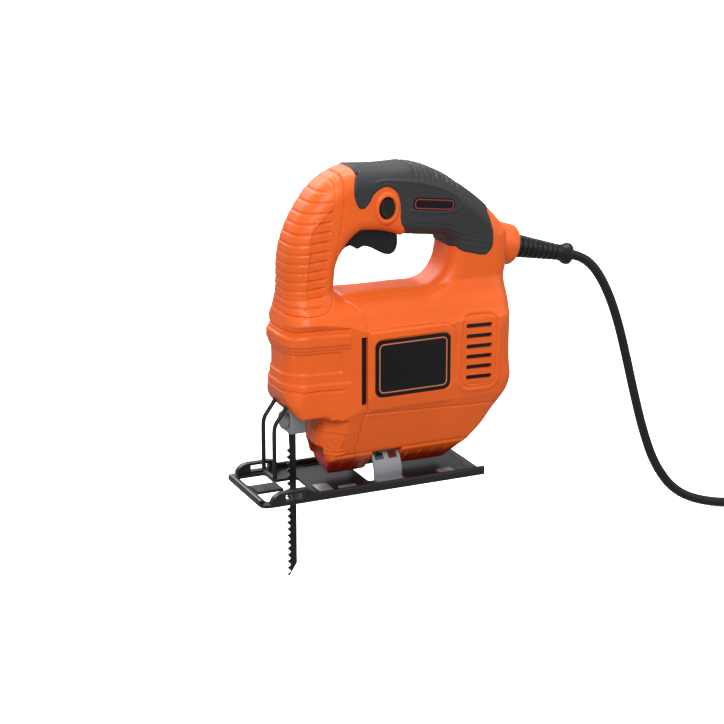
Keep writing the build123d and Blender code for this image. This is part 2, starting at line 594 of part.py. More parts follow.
with BuildPart() as blade_guard:
    with BuildLine(Plane.XY):
        FilletPolyline((-48.2, -GUARD_Y, 61.0), (-48.2, -GUARD_Y, 52.5), (GUARD_X, -GUARD_Y, 41.0),
                       (GUARD_X, -GUARD_Y, GUARD_Z), (GUARD_X, GUARD_Y, GUARD_Z), (GUARD_X, GUARD_Y, 41.0),
                       (-48.2, GUARD_Y, 52.5), (-48.2, GUARD_Y, 61.0), radius=3.0)
    with BuildSketch(Plane(origin=(-48.2, -GUARD_Y, 61.0), z_dir=(0, 0, -1))):
        Circle(GUARD_R)
    sweep()
write(blade_guard, "blade_guard")

# ------------------------------------------------------------------ sole and bevel
LUG_X0, LUG_X1, LUG_H = -64.0, -40.0, 8.0
with BuildPart() as sole_plate:
    block((-SOLE_L / 2, SOLE_L / 2), (-SOLE_W / 2, SOLE_W / 2), (0, SOLE_T))
    fillet(sole_plate.edges().filter_by(Axis.Z).group_by(Axis.X)[0], 6.0)
    for side in (-1, 1):
        edge = side * SOLE_W / 2
        rail = sorted((edge, edge - side * RAIL_T))
        block((-SOLE_L / 2 + 6, SOLE_L / 2), rail, (0, RAIL_H))
        block((LUG_X0, LUG_X1), sorted((edge, edge - side * 4.4)), (0, LUG_H))
        block((LUG_X0 + 6, LUG_X1 - 6), sorted((edge - side * 6, edge + side)), (SOLE_T + 1, LUG_H - 1.4),
              Mode.SUBTRACT)
        block((WINDOW_FRONT, WINDOW_REAR), sorted((side * TONGUE_HALF, side * WINDOW_HALF)), (-1, SOLE_T + 1),
              Mode.SUBTRACT)
    block((-SOLE_L / 2, -SOLE_L / 2 + 2.6), (-SOLE_W / 2 + 6, SOLE_W / 2 - 6), (0, RAIL_H - 1))
    block((WINDOW_REAR, NOTCH_REAR), (-NOTCH_HALF, NOTCH_HALF), (-1, SOLE_T + 1), Mode.SUBTRACT)
    block((CRADLE_X0 - 2.5, CRADLE_X1 + 1.5), (-16, 16), (-1, SOLE_T + 1), Mode.SUBTRACT)
write(sole_plate, "sole_plate")

with BuildPart() as bevel_cradle:
    bore_x(CRADLE_R, (CRADLE_X0, CRADLE_X1), TILT_Z, Mode.ADD)
    bore_x(CRADLE_R - CRADLE_T, (CRADLE_X0 - 1, CRADLE_X1 + 1), TILT_Z)
    block((CRADLE_X0 - 1, CRADLE_X1 + 1), (-30, 30), (-30, TILT_Z), Mode.SUBTRACT)
    for side in (-1, 1):
        block((CRADLE_X0, CRADLE_X1), sorted((side * CRADLE_R, side * (CRADLE_R - CRADLE_T))), (SOLE_T, TILT_Z))
        block((CRADLE_X0, CRADLE_X1), sorted((side * CRADLE_R, side * 26.0)), (SOLE_T, SOLE_T + CRADLE_T))
    for x in BEVEL_SCREW_X:
        reach = BEVEL_SCREW_R + 0.4
        edge = radians(BEVEL_MAX + 13)
        block((x - reach, x + reach), (-CRADLE_R * sin(edge), CRADLE_R * sin(edge)),
              (TILT_Z + CRADLE_R * cos(edge), 30), Mode.SUBTRACT)
write(bevel_cradle, "bevel_cradle")

SADDLE_Z0 = 17.0
with BuildPart() as bevel_saddle:
    bore_x(CRADLE_R - CRADLE_T - 0.3, (CRADLE_X0 + 0.5, CRADLE_X1 - 0.5), TILT_Z, Mode.ADD)
    block((CRADLE_X0, CRADLE_X1), (-9, 9), (SADDLE_Z0, 30), Mode.INTERSECT)
    for x in BEVEL_SCREW_X:
        bore_z(BEVEL_SCREW_R + SEAT_GAP, (10, 30), x)
write(bevel_saddle, "bevel_saddle")

with BuildPart() as bevel_screws:
    for x in BEVEL_SCREW_X:
        bore_z(BEVEL_SCREW_R, (SADDLE_Z0, 35), x, 0, Mode.ADD)
        bore_z(4.0, (SADDLE_Z0 - 3.2, SADDLE_Z0), x, 0, Mode.ADD)
        with BuildSketch(Plane.XY.offset(SADDLE_Z0 - 3.2)):
            with Locations((x, 0)):
                RegularPolygon(2.3, 6)
        extrude(amount=2.0, mode=Mode.SUBTRACT)
write(bevel_screws, "bevel_screws")

# ------------------------------------------------------------------ cord
EXIT_PLANE = Plane(origin=EXIT, x_dir=(0, 1, 0), z_dir=CORD_DIR)
PROTECTOR = [(-67, 4.2), (-58, 4.2), (-58, 7.2), (-53, 7.2), (-53, 6.0), (-38, 6.0), (-38, 7.0), (-8, 5.0),
             (-3, 6.6), (0, 6.6)]
with BuildPart() as cord_protector:
    with BuildSketch(Plane(origin=EXIT, x_dir=(0, 1, 0), z_dir=Vector(0, 1, 0).cross(CORD_DIR))):
        with BuildLine():
            Polyline((0, 0), (0, PROTECTOR[0][0]), *[(r, s) for s, r in PROTECTOR], (0, 0))
        make_face()
    revolve(axis=Axis(EXIT, CORD_DIR))
write(cord_protector, "cord_protector")

CLAMP_PLANE_X = 82.0
with BuildPart() as cord_clamp:
    with BuildSketch(on_cord_axis(CLAMP_PLANE_X)):
        Rectangle(24, 13)
        Circle(4.25, mode=Mode.SUBTRACT)
        with Locations((-8.5, 0), (8.5, 0)):
            Circle(1.55, mode=Mode.SUBTRACT)
    extrude(amount=4)
write(cord_clamp, "cord_clamp")

with BuildPart() as cord_clamp_screws:
    with BuildSketch(on_cord_axis(CLAMP_PLANE_X - 2.0)):
        with Locations((-8.5, 0), (8.5, 0)):
            Circle(2.8)
    extrude(amount=2 / CORD_DIR.X)
    with BuildSketch(on_cord_axis(CLAMP_PLANE_X)):
        with Locations((-8.5, 0), (8.5, 0)):
            Circle(1.5)
    extrude(amount=4)
write(cord_clamp_screws, "cord_clamp_screws")

# The route hangs from the exit, meets the surface and runs in line with the tool to the coil.
ON_FLOOR = FLOOR_Z + CORD_R
ROUTE = [EXIT, (153.7, 0, 121.96), (164.5, 0, 113.0), (174.0, 0, 97.0), (182.0, 0, 77.0), (189.0, 0, 53.0),
         (196.0, 0, 27.0), (204.0, 0, 0.0), (214.0, 0, -25.0), (230.0, -1.5, -46.0), (254.0, -6.5, ON_FLOOR),
         (282.0, -16.5, ON_FLOOR)]


def turn_radii(points):
    """The largest tangent arc that the two runs at each corner leave room for."""
    radii = []
    for before, corner, after in zip(points, points[1:], points[2:]):
        run_in, run_out = Vector(*corner) - Vector(*before), Vector(*after) - Vector(*corner)
        turn = radians(run_in.get_angle(run_out))
        radii.append(0.45 * min(run_in.length, run_out.length) * cos(turn / 2) / sin(turn / 2))
    return radii


RADII = turn_radii(ROUTE)
with BuildPart() as mains_cord:
    with BuildLine():
        path = FilletPolyline(*ROUTE, radius=RADII)
    with BuildSketch(Plane(origin=EXIT, z_dir=path % 0)):
        Circle(CORD_R)
    sweep()
write(mains_cord, "mains_cord")
print("cord radii", [round(r) for r in RADII], "length", round(path.length),
      "volume ratio", round(mains_cord.part.volume / (pi * CORD_R ** 2 * path.length), 4))

COIL_H = 18.0
with BuildPart() as cord_coil:
    with BuildSketch(Plane.XY.offset(FLOOR_Z)):
        with Locations((COIL_X, 0)):
            Circle(COIL_R + COIL_BAND)
            Circle(COIL_R - COIL_BAND, mode=Mode.SUBTRACT)
    extrude(amount=COIL_H)
    fillet(cord_coil.edges(), 4.0)
write(cord_coil, "cord_coil")

PLUG_Z = FLOOR_Z + COIL_H
PLUG_Y, PLUG_X0, PLUG_L, PLUG_W, PLUG_H = -29.0, 316.0, 30.0, 26.0, 13.0
with BuildPart() as mains_plug:
    block((PLUG_X0, PLUG_X0 + PLUG_L), (PLUG_Y - PLUG_W / 2, PLUG_Y + PLUG_W / 2), (PLUG_Z, PLUG_Z + PLUG_H))
    fillet(mains_plug.edges().filter_by(Axis.X), 5.0)
    with BuildSketch(Plane.YZ.offset(PLUG_X0)):
        with Locations((PLUG_Y, PLUG_Z + PLUG_H / 2)):
            Circle(5.5)
    with BuildSketch(Plane.YZ.offset(PLUG_X0 - 18)):
        with Locations((PLUG_Y, PLUG_Z + PLUG_H / 2)):
            Circle(4.0)
    loft()
    for y in (PLUG_Y - 9.5, PLUG_Y + 9.5):
        bore_x(2.4, (PLUG_X0 + PLUG_L, PLUG_X0 + PLUG_L + 19), PLUG_Z + PLUG_H / 2, Mode.ADD, y)
write(mains_plug, "mains_plug")
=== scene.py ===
import json
from math import atan2, cos, hypot, pi, radians, sin

import bmesh
import bpy
import numpy as np
from mathutils import Matrix, Vector


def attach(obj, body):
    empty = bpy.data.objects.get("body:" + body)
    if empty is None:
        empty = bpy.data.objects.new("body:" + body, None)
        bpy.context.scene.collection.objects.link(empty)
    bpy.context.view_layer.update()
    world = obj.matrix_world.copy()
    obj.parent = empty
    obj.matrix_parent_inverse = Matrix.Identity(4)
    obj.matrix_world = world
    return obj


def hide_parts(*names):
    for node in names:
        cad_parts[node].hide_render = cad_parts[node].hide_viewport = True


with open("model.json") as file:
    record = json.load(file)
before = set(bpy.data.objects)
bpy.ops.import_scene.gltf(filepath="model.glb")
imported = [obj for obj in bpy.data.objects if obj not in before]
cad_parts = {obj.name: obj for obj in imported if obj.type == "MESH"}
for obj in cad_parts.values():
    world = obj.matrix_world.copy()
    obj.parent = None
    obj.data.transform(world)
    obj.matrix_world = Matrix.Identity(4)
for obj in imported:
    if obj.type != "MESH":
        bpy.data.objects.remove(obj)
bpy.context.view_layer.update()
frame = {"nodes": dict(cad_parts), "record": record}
MM = 0.001
FLOOR_Z = -58.3
MERGE = 2e-3                                        # points nearer than this are one
PARTING_GAP = 0.06                                  # half the fine gap between the two mouldings
MIX_AMOUNT, MIX_A, MIX_B, MIX_RESULT = 0, 6, 7, 2   # the colour sockets of a mix node
UNEVEN_GLOSS = 0.07


# ---------------------------------------------------------------- materials
def material(name, base, rough, metallic=0.0, coat=0.0, grain=0.25, grain_mm=0.5, bump=0.15, vary=0.10,
             wear=0.0, sheen=0.0, specular=0.5, streak=None, deep=None):
    """Base colour with slow and fine variation, moulded or rolled grain as bump, uneven gloss, worn edges.
    deep is the colour of painted shade, mixed in where the mesh's attribute of that name is 1."""
    m = bpy.data.materials.new(name)
    m.use_nodes = True
    nodes, links = m.node_tree.nodes, m.node_tree.links
    shader = nodes["Principled BSDF"]
    shader.inputs["Metallic"].default_value = metallic
    shader.inputs["Coat Weight"].default_value = coat
    shader.inputs["Coat Roughness"].default_value = 0.25
    shader.inputs["Sheen Weight"].default_value = sheen
    shader.inputs["Specular IOR Level"].default_value = specular

    def mixed(under, amount, over):
        """The colour under goes over to another one by amount."""
        mix = nodes.new("ShaderNodeMix")
        mix.data_type = "RGBA"
        mix.inputs[MIX_B].default_value = (*over, 1.0)
        links.new(amount, mix.inputs[MIX_AMOUNT])
        links.new(under, mix.inputs[MIX_A])
        return mix.outputs[MIX_RESULT]

    coord = nodes.new("ShaderNodeTexCoord")
    place = nodes.new("ShaderNodeMapping")
    links.new(coord.outputs["Object"], place.inputs["Vector"])
    if streak:
        place.inputs["Scale"].default_value = streak
    slow = nodes.new("ShaderNodeTexNoise")
    slow.inputs["Scale"].default_value = 34.0
    slow.inputs["Detail"].default_value = 3.0
    links.new(place.outputs["Vector"], slow.inputs["Vector"])
    fine = nodes.new("ShaderNodeTexNoise")
    fine.inputs["Scale"].default_value = 1000.0 / grain_mm / 2.0
    fine.inputs["Detail"].default_value = 2.0
    links.new(place.outputs["Vector"], fine.inputs["Vector"])
    ramp = nodes.new("ShaderNodeValToRGB")
    dark = [c * (1.0 - vary) for c in base]
    light = [min(1.0, c * (1.0 + vary)) for c in base]
    ramp.color_ramp.elements[0].position = 0.3
    ramp.color_ramp.elements[1].position = 0.7
    ramp.color_ramp.elements[0].color = (*dark, 1.0)
    ramp.color_ramp.elements[1].color = (*light, 1.0)
    links.new(slow.outputs["Fac"], ramp.inputs["Fac"])
    colour = ramp.outputs["Color"]
    if wear:
        geometry = nodes.new("ShaderNodeNewGeometry")
        edge = nodes.new("ShaderNodeMapRange")
        edge.inputs["From Min"].default_value = 0.53
        edge.inputs["From Max"].default_value = 0.66
        edge.inputs["To Max"].default_value = wear
        links.new(geometry.outputs["Pointiness"], edge.inputs["Value"])
        colour = mixed(colour, edge.outputs["Result"], [min(1.0, 0.25 + 0.75 * c) for c in base])
    # painted shade: the attribute darkens the colour to deep red on the keel and inside the blower mouth
    if deep:
        painted_shade = nodes.new("ShaderNodeAttribute")
        painted_shade.attribute_name = "deep"
        colour = mixed(colour, painted_shade.outputs["Fac"], deep)
    links.new(colour, shader.inputs["Base Color"])
    gloss = nodes.new("ShaderNodeMapRange")
    gloss.inputs["To Min"].default_value = rough - UNEVEN_GLOSS
    gloss.inputs["To Max"].default_value = rough + UNEVEN_GLOSS
    links.new(fine.outputs["Fac"], gloss.inputs["Value"])
    links.new(gloss.outputs["Result"], shader.inputs["Roughness"])
    relief = nodes.new("ShaderNodeBump")
    relief.inputs["Strength"].default_value = bump
    relief.inputs["Distance"].default_value = grain * MM
    links.new(fine.outputs["Fac"], relief.inputs["Height"])
    links.new(relief.outputs["Normal"], shader.inputs["Normal"])
    return m


# orange moulding; its deep colour is painted shade for the down-facing keel and the inside of the blower mouth
ORANGE = material("orange_moulding", (0.84, 0.125, 0.012), 0.40, grain=0.10, grain_mm=0.45, vary=0.04, wear=0.22,
                  specular=0.35, deep=(0.40, 0.014, 0.006))
SOFT = material("soft_grip", (0.030, 0.030, 0.033), 0.58, grain=0.14, grain_mm=0.5, bump=0.35, wear=0.05,
                specular=0.35)
BLACK = material("black_moulding", (0.0065, 0.0068, 0.0075), 0.38, grain=0.08, grain_mm=0.5, specular=0.35)
GLOSS = material("label_black", (0.0060, 0.0045, 0.0045), 0.30, grain=0.02, grain_mm=0.8, bump=0.05,
                 specular=0.25)
RUBBER = material("cord_rubber", (0.010, 0.010, 0.011), 0.50, grain=0.10, grain_mm=0.6, bump=0.25, specular=0.30)
SOLE = material("black_steel", (0.0060, 0.0062, 0.0070), 0.32, grain=0.06, grain_mm=0.9, specular=0.50)
ZINC = material("zinc_steel", (0.33, 0.34, 0.36), 0.42, metallic=0.60, grain=0.05, grain_mm=0.35, bump=0.12,
                vary=0.10, streak=(1.0, 3.0, 1.0))
BLADE = material("blade_steel", (0.030, 0.030, 0.034), 0.34, metallic=0.8, grain=0.05, grain_mm=0.5,
                 vary=0.5, streak=(2.2, 2.2, 0.35))
STEEL = material("ground_steel", (0.50, 0.51, 0.53), 0.28, metallic=1.0, grain=0.04, grain_mm=0.3,
                 streak=(6, 1, 1))
IRON = material("laminations", (0.20, 0.20, 0.21), 0.45, metallic=0.9, grain=0.10, grain_mm=0.6,
                streak=(12, 1, 1))
COPPER = material("copper_wire", (0.70, 0.30, 0.14), 0.34, metallic=0.9, grain=0.25, grain_mm=0.7, bump=0.5)
BRASS = material("brass", (0.74, 0.55, 0.24), 0.30, metallic=1.0, grain=0.04, grain_mm=0.4)
CARBON = material("carbon", (0.03, 0.03, 0.03), 0.6, grain=0.15, grain_mm=0.5)
YELLOW = material("yellow_film", (0.70, 0.50, 0.07), 0.3, grain=0.03, grain_mm=0.5)
INK = material("orange_ink", (0.62, 0.20, 0.09), 0.42, grain=0.02, grain_mm=0.5, specular=0.3)
RED_LINE = material("red_ink", (0.36, 0.05, 0.045), 0.35, grain=0.02, grain_mm=0.5, specular=0.3)


# ---------------------------------------------------------------- mesh helpers
def arc(a, b, c, n=12):
    """Points on the circle through a, b and c, from a to just before c."""
    ax, ay, bx, by, cx, cy = *a, *b, *c
    d = 2 * (ax * (by - cy) + bx * (cy - ay) + cx * (ay - by))
    ux = ((ax**2 + ay**2) * (by - cy) + (bx**2 + by**2) * (cy - ay) + (cx**2 + cy**2) * (ay - by)) / d
    uy = ((ax**2 + ay**2) * (cx - bx) + (bx**2 + by**2) * (ax - cx) + (cx**2 + cy**2) * (bx - ax)) / d
    r = hypot(ax - ux, ay - uy)
    t0, tb, t1 = (atan2(p[1] - uy, p[0] - ux) for p in (a, b, c))
    sweep = (t1 - t0) % (2 * pi)
    if (tb - t0) % (2 * pi) > sweep:
        sweep -= 2 * pi
    return [(ux + r * cos(t0 + sweep * i / n), uy + r * sin(t0 + sweep * i / n)) for i in range(n)]


def smooth_path(points, n=10):
    """An open Catmull-Rom curve through the points."""
    p = [points[0], *points, points[-1]]
    out = []
    for i in range(1, len(p) - 2):
        for k in range(n):
            t = k / n
            out.append(tuple(
                0.5 * (2 * p[i][j] + (p[i + 1][j] - p[i - 1][j]) * t
                       + (2 * p[i - 1][j] - 5 * p[i][j] + 4 * p[i + 1][j] - p[i + 2][j]) * t**2
                       + (3 * p[i][j] - p[i - 1][j] - 3 * p[i + 1][j] + p[i + 2][j]) * t**3)
                for j in range(len(p[0]))))
    return out + [points[-1]]


def rounded_corners(points, r, n=6):
    """A closed outline with each corner rounded by r, or by its own radius in a third coordinate."""
    out = []
    for i, q in enumerate(points):
        a, b, c = Vector(points[i - 1][:2]), Vector(q[:2]), Vector(points[(i + 1) % len(points)][:2])
        radius = q[2] if len(q) > 2 else r
        u, v = (a - b).normalized(), (c - b).normalized()
        half = u.angle(v) / 2
        if radius <= 0 or half > 1.55:
            out.append(tuple(b))
            continue
        reach = min(radius / max(1e-6, sin(half) / cos(half)), 0.48 * (a - b).length, 0.48 * (c - b).length)
        p0, p1 = b + u * reach, b + v * reach
        for k in range(n + 1):
            t = k / n
            out.append(tuple((1 - t)**2 * p0 + 2 * t * (1 - t) * b + t**2 * p1))
    return out


def rectangle(x0, x1, z0, z1):
    """The corners of an upright box in a plane."""
    return [(x0, z0), (x1, z0), (x1, z1), (x0, z1)]


def placed(name, data):
    """A new object in the scene."""
    obj = bpy.data.objects.new(name, data)
    bpy.context.scene.collection.objects.link(obj)
    return obj


def round_edges(bm, edges, radius, segments):
    bmesh.ops.bevel(bm, geom=edges, offset=radius, offset_type="OFFSET", segments=segments, profile=0.5,
                    affect="EDGES", clamp_overlap=True, material=-1)


def finish_mesh(bm, name, mat, body, bevel=0.0, segments=2, smooth=40.0, replaces=()):
    """Turns a bmesh in millimetres into an object that rides on a body."""
    if bevel:
        edges = [e for e in bm.edges if len(e.link_faces) == 2 and e.calc_face_angle(0) > radians(28)]
        round_edges(bm, edges, bevel, segments)
    bmesh.ops.remove_doubles(bm, verts=bm.verts[:], dist=1e-5)
    bmesh.ops.recalc_face_normals(bm, faces=bm.faces[:])
    bmesh.ops.scale(bm, verts=bm.verts[:], vec=(MM, MM, MM))
    mesh = bpy.data.meshes.new(name)
    bm.to_mesh(mesh)
    bm.free()
    return finish_object(mesh, name, mat, body, smooth, replaces)


def finish_object(mesh, name, mat, body, smooth=40.0, replaces=()):
    """Gives a mesh its material, body, slot and the CAD nodes that it stands for."""
    mesh.materials.clear()
    mesh.polygons.foreach_set("material_index", [0] * len(mesh.polygons))
    mesh.shade_smooth()
    if smooth < 180:
        mesh.set_sharp_from_angle(angle=radians(smooth))
    obj = placed(name, mesh)
    mesh.materials.append(mat)
    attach(obj, body)
    if replaces:
        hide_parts(*replaces)
    return obj


def moved_verts(result):
    """The vertices that an extrusion made."""
    return [v for v in result["geom"] if isinstance(v, bmesh.types.BMVert)]


def prism(bm, outline, a, b, plane="XZ"):
    """An outline drawn out from a to b: across plane XZ, XY or YZ."""
    def at(p, h):
        return {"XZ": (p[0], h, p[1]), "XY": (p[0], p[1], h), "YZ": (h, p[0], p[1])}[plane]
    face = bm.faces.new([bm.verts.new(at(p, a)) for p in outline])
    top = bmesh.ops.extrude_face_region(bm, geom=[face])
    bmesh.ops.translate(bm, verts=moved_verts(top), vec=at((0.0, 0.0), b - a))


def round_rim(bm, along, radius, segments):
    """Rounds the outline's edges at both ends of a prism that was drawn out along an axis."""
    bmesh.ops.recalc_face_normals(bm, faces=bm.faces[:])
    rim = [e for e in bm.edges if abs(e.verts[0].co[along] - e.verts[1].co[along]) < 0.01]
    round_edges(bm, rim, radius, segments)


def block(bm, size, centre, turn=0.0):
    """A box of that size round a centre, turned about Y."""
    verts = bmesh.ops.create_cube(bm, size=1.0)["verts"]
    bmesh.ops.scale(bm, verts=verts, vec=size)
    bmesh.ops.rotate(bm, verts=verts, matrix=Matrix.Rotation(turn, 3, "Y"))
    bmesh.ops.translate(bm, verts=verts, vec=centre)


def lathe(bm, profile, origin, direction, steps=48, ring=False):
    """Spins a profile of (distance along the axis, radius); it is shut at both ends, or a ring by itself."""
    axis = Vector(direction).normalized()
    side = axis.orthogonal().normalized()
    line = list(profile) if ring else [(profile[0][0], 0.0), *profile, (profile[-1][0], 0.0)]
    verts = [bm.verts.new(Vector(origin) + axis * s + side * r) for s, r in line]
    edges = [bm.edges.new(pair) for pair in zip(verts, verts[1:])]
    if ring:
        edges.append(bm.edges.new((verts[-1], verts[0])))
    bmesh.ops.spin(bm, geom=verts + edges, cent=origin, axis=axis, angle=2 * pi, steps=steps, use_merge=True,
                   use_duplicate=False)
    bmesh.ops.remove_doubles(bm, verts=bm.verts[:], dist=MERGE)


def wire(bm, path, radius):
    """A round wire along a path, with closed ends."""
    curve = bpy.data.curves.new("wire", "CURVE")
    curve.dimensions = "3D"
    curve.bevel_depth, curve.bevel_resolution, curve.use_fill_caps = radius, 5, True
    line = curve.splines.new("POLY")
    line.points.add(len(path) - 1)
    for point, place in zip(line.points, path):
        point.co = (*place, 1.0)
    ghost = bpy.data.objects.new("wire", curve)
    mesh = bpy.data.meshes.new_from_object(ghost)
    bm.from_mesh(mesh)
    bpy.data.meshes.remove(mesh)
    bpy.data.objects.remove(ghost)
    bpy.data.curves.remove(curve)
    bmesh.ops.remove_doubles(bm, verts=bm.verts[:], dist=MERGE)


def solid(name, build):
    """A loose object in millimetres, to be cut or remeshed."""
    bm = bmesh.new()
    build(bm)
    bmesh.ops.recalc_face_normals(bm, faces=bm.faces[:])
    mesh = bpy.data.meshes.new(name)
    bm.to_mesh(mesh)
    bm.free()
    return placed(name, mesh)


def combine(obj, cutter, how, solver="MANIFOLD"):
    """Cuts obj with cutter, joins them or keeps what they share, and removes the cutter."""
    mod = obj.modifiers.new("cut", "BOOLEAN")
    mod.operation = how
    mod.solver = solver
    mod.object = cutter
    bpy.context.view_layer.objects.active = obj
    bpy.ops.object.modifier_apply(modifier=mod.name)
    mesh = cutter.data
    bpy.data.objects.remove(cutter)
    bpy.data.meshes.remove(mesh)


def cut(obj, name, build, how="DIFFERENCE", solver="MANIFOLD"):
    """Cuts obj with a shape made for it, or joins them or keeps what they share."""
    combine(obj, solid(name, build), how, solver)


def opened(obj):
    """A loose object's mesh as a bmesh; the object goes."""
    bm = bmesh.new()
    bm.from_mesh(obj.data)
    bpy.data.objects.remove(obj)
    return bm


def mesh_points(mesh):
    """The vertices' places as rows."""
    flat = np.empty(len(mesh.vertices) * 3)
    mesh.vertices.foreach_get("co", flat)
    return flat.reshape(-1, 3)


def remeshed(obj, voxel):
    """An even net of that cell size, so that a formula can shape the surface."""
    obj.data.remesh_voxel_size = voxel
    obj.data.remesh_voxel_adaptivity = 0.0
    bpy.context.view_layer.objects.active = obj
    bpy.ops.object.voxel_remesh()


# ---------------------------------------------------------------- camera, light, floor
def aimed(obj, place, target):
    """Puts a camera or lamp at a place and points it at a target."""
    obj.location = place
    obj.rotation_euler = (target - place).to_track_quat("-Z", "Y").to_euler()


def camera_and_light():
    """A long lens from the front left and above, four soft lamps, a pale world and a pale floor."""
    target = Vector((0.004468, 0.0, 0.071973))
    turn, rise, distance = radians(-24.421), radians(17.168), 1.2963
    data = bpy.data.cameras.new("studio_camera")
    data.lens, data.sensor_width = 107.35, 36.0
    camera = placed("studio_camera", data)
    away = Vector((sin(turn) * cos(rise), -cos(turn) * cos(rise), sin(rise)))
    aimed(camera, target + distance * away, target)
    bpy.context.scene.camera = camera
    for name, place, size, power in (("key", (-0.70, -1.00, 1.00), 0.55, 14.0),
                                     ("fill", (1.2, -0.8, 0.7), 1.0, 4.5),
                                     ("top", (0.15, 0.25, 1.5), 0.8, 19.0),
                                     ("back", (-0.2, 2.2, 1.6), 2.0, 38.0)):
        light = bpy.data.lights.new(name, "AREA")
        light.energy, light.size = power, size
        aimed(placed(name, light), Vector(place), Vector((0.0, 0.0, 0.07)))
    world = bpy.data.worlds.new("studio")
    world.use_nodes = True
    sky = world.node_tree.nodes["Background"]
    sky.inputs["Color"].default_value = (1.0, 1.0, 1.0, 1.0)
    sky.inputs["Strength"].default_value = 0.42
    bpy.context.scene.world = world
    bm = bmesh.new()
    bmesh.ops.create_grid(bm, x_segments=2, y_segments=2, size=6.0)
    bmesh.ops.translate(bm, verts=bm.verts[:], vec=(0, 0, FLOOR_Z * MM))
    mesh = bpy.data.meshes.new("floor")
    bm.to_mesh(mesh)
    bm.free()
    floor = placed("floor", mesh)
    pale = bpy.data.materials.new("pale_floor")
    pale.use_nodes = True
    surface = pale.node_tree.nodes["Principled BSDF"]
    surface.inputs["Base Color"].default_value = (0.97, 0.97, 0.97, 1.0)
    surface.inputs["Roughness"].default_value = 0.8
    surface.inputs["Emission Color"].default_value = (1.0, 1.0, 1.0, 1.0)
    surface.inputs["Emission Strength"].default_value = 0.75
    mesh.materials.append(pale)
    floor.visible_diffuse = False
    floor.visible_glossy = False
    bpy.context.scene.view_settings.view_transform = "Standard"


# ---------------------------------------------------------------- mains cord
CORD_R = 3.0
EXIT = (145.0, 0.0, 124.1)
ON_FLOOR = FLOOR_Z + CORD_R
ROUTE = [EXIT, (153.7, 0, 121.96), (164.5, 0, 113.0), (174.0, 0, 97.0), (182.0, 0, 77.0), (189.0, 0, 53.0),
         (196.0, 0, 27.0), (204.0, 0, 0.0), (214.0, 0, -25.0), (230.0, -1.5, -46.0), (254.0, -6.5, ON_FLOOR),
         (282.0, -16.5, ON_FLOOR)]
COIL_X, COIL_R, COIL_TURNS = 318.0, 33.0, 8
PLUG_X0, PLUG_Y, PLUG_Z, PLUG_L, PLUG_SLEEVE = 316.0, -29.0, FLOOR_Z + 24.5, 30.0, 18.0


def mains_plug():
    """Moulded two-pin plug with grip ribs and a tapered sleeve, lying on the coil."""
    bm = bmesh.new()
    half = [(0.0, 6.6), (3.0, 9.6), (9.0, 11.2), (17.0, 11.6), (23.0, 12.6), (29.5, 12.8)]
    plan = smooth_path(half, 4)
    outline = [(PLUG_X0 + x, PLUG_Y + y) for x, y in plan] + [(PLUG_X0 + x, PLUG_Y - y) for x, y in plan[::-1]]
    prism(bm, outline, PLUG_Z - 6.3, PLUG_Z + 6.3, "XY")
    round_rim(bm, 2, 3.2, 5)
    for k in range(4):
        for y in (-11.2, 11.2):
            block(bm, (1.2, 1.6, 7.6), (PLUG_X0 + 9.0 + 3.0 * k, PLUG_Y + y, PLUG_Z))
    profile = [(0.0, 3.9)]
    for k in range(5):
        s = 2.0 + 3.2 * k
        r = 4.0 + 0.075 * s
        profile += [(s, r), (s + 0.4, r - 0.6), (s + 1.4, r - 0.6), (s + 1.8, r + 0.1)]
    profile += [(PLUG_SLEEVE, 5.5), (PLUG_SLEEVE + 3.0, 5.5)]
    lathe(bm, profile, (PLUG_X0 - PLUG_SLEEVE, PLUG_Y, PLUG_Z), (1, 0, 0), 40)
    body = finish_mesh(bm, "plug_body", BLACK, "housing", smooth=40, replaces=("mains_plug",))
    bm = bmesh.new()
    for y in (-9.5, 9.5):
        lathe(bm, [(0.0, 2.4), (17.0, 2.4), (18.2, 2.0), (18.9, 1.1)],
              (PLUG_X0 + PLUG_L - 1.0, PLUG_Y + y, PLUG_Z), (1, 0, 0), 32)
    pins = finish_mesh(bm, "plug_pins", STEEL, "housing", smooth=40)
    return [body, pins]


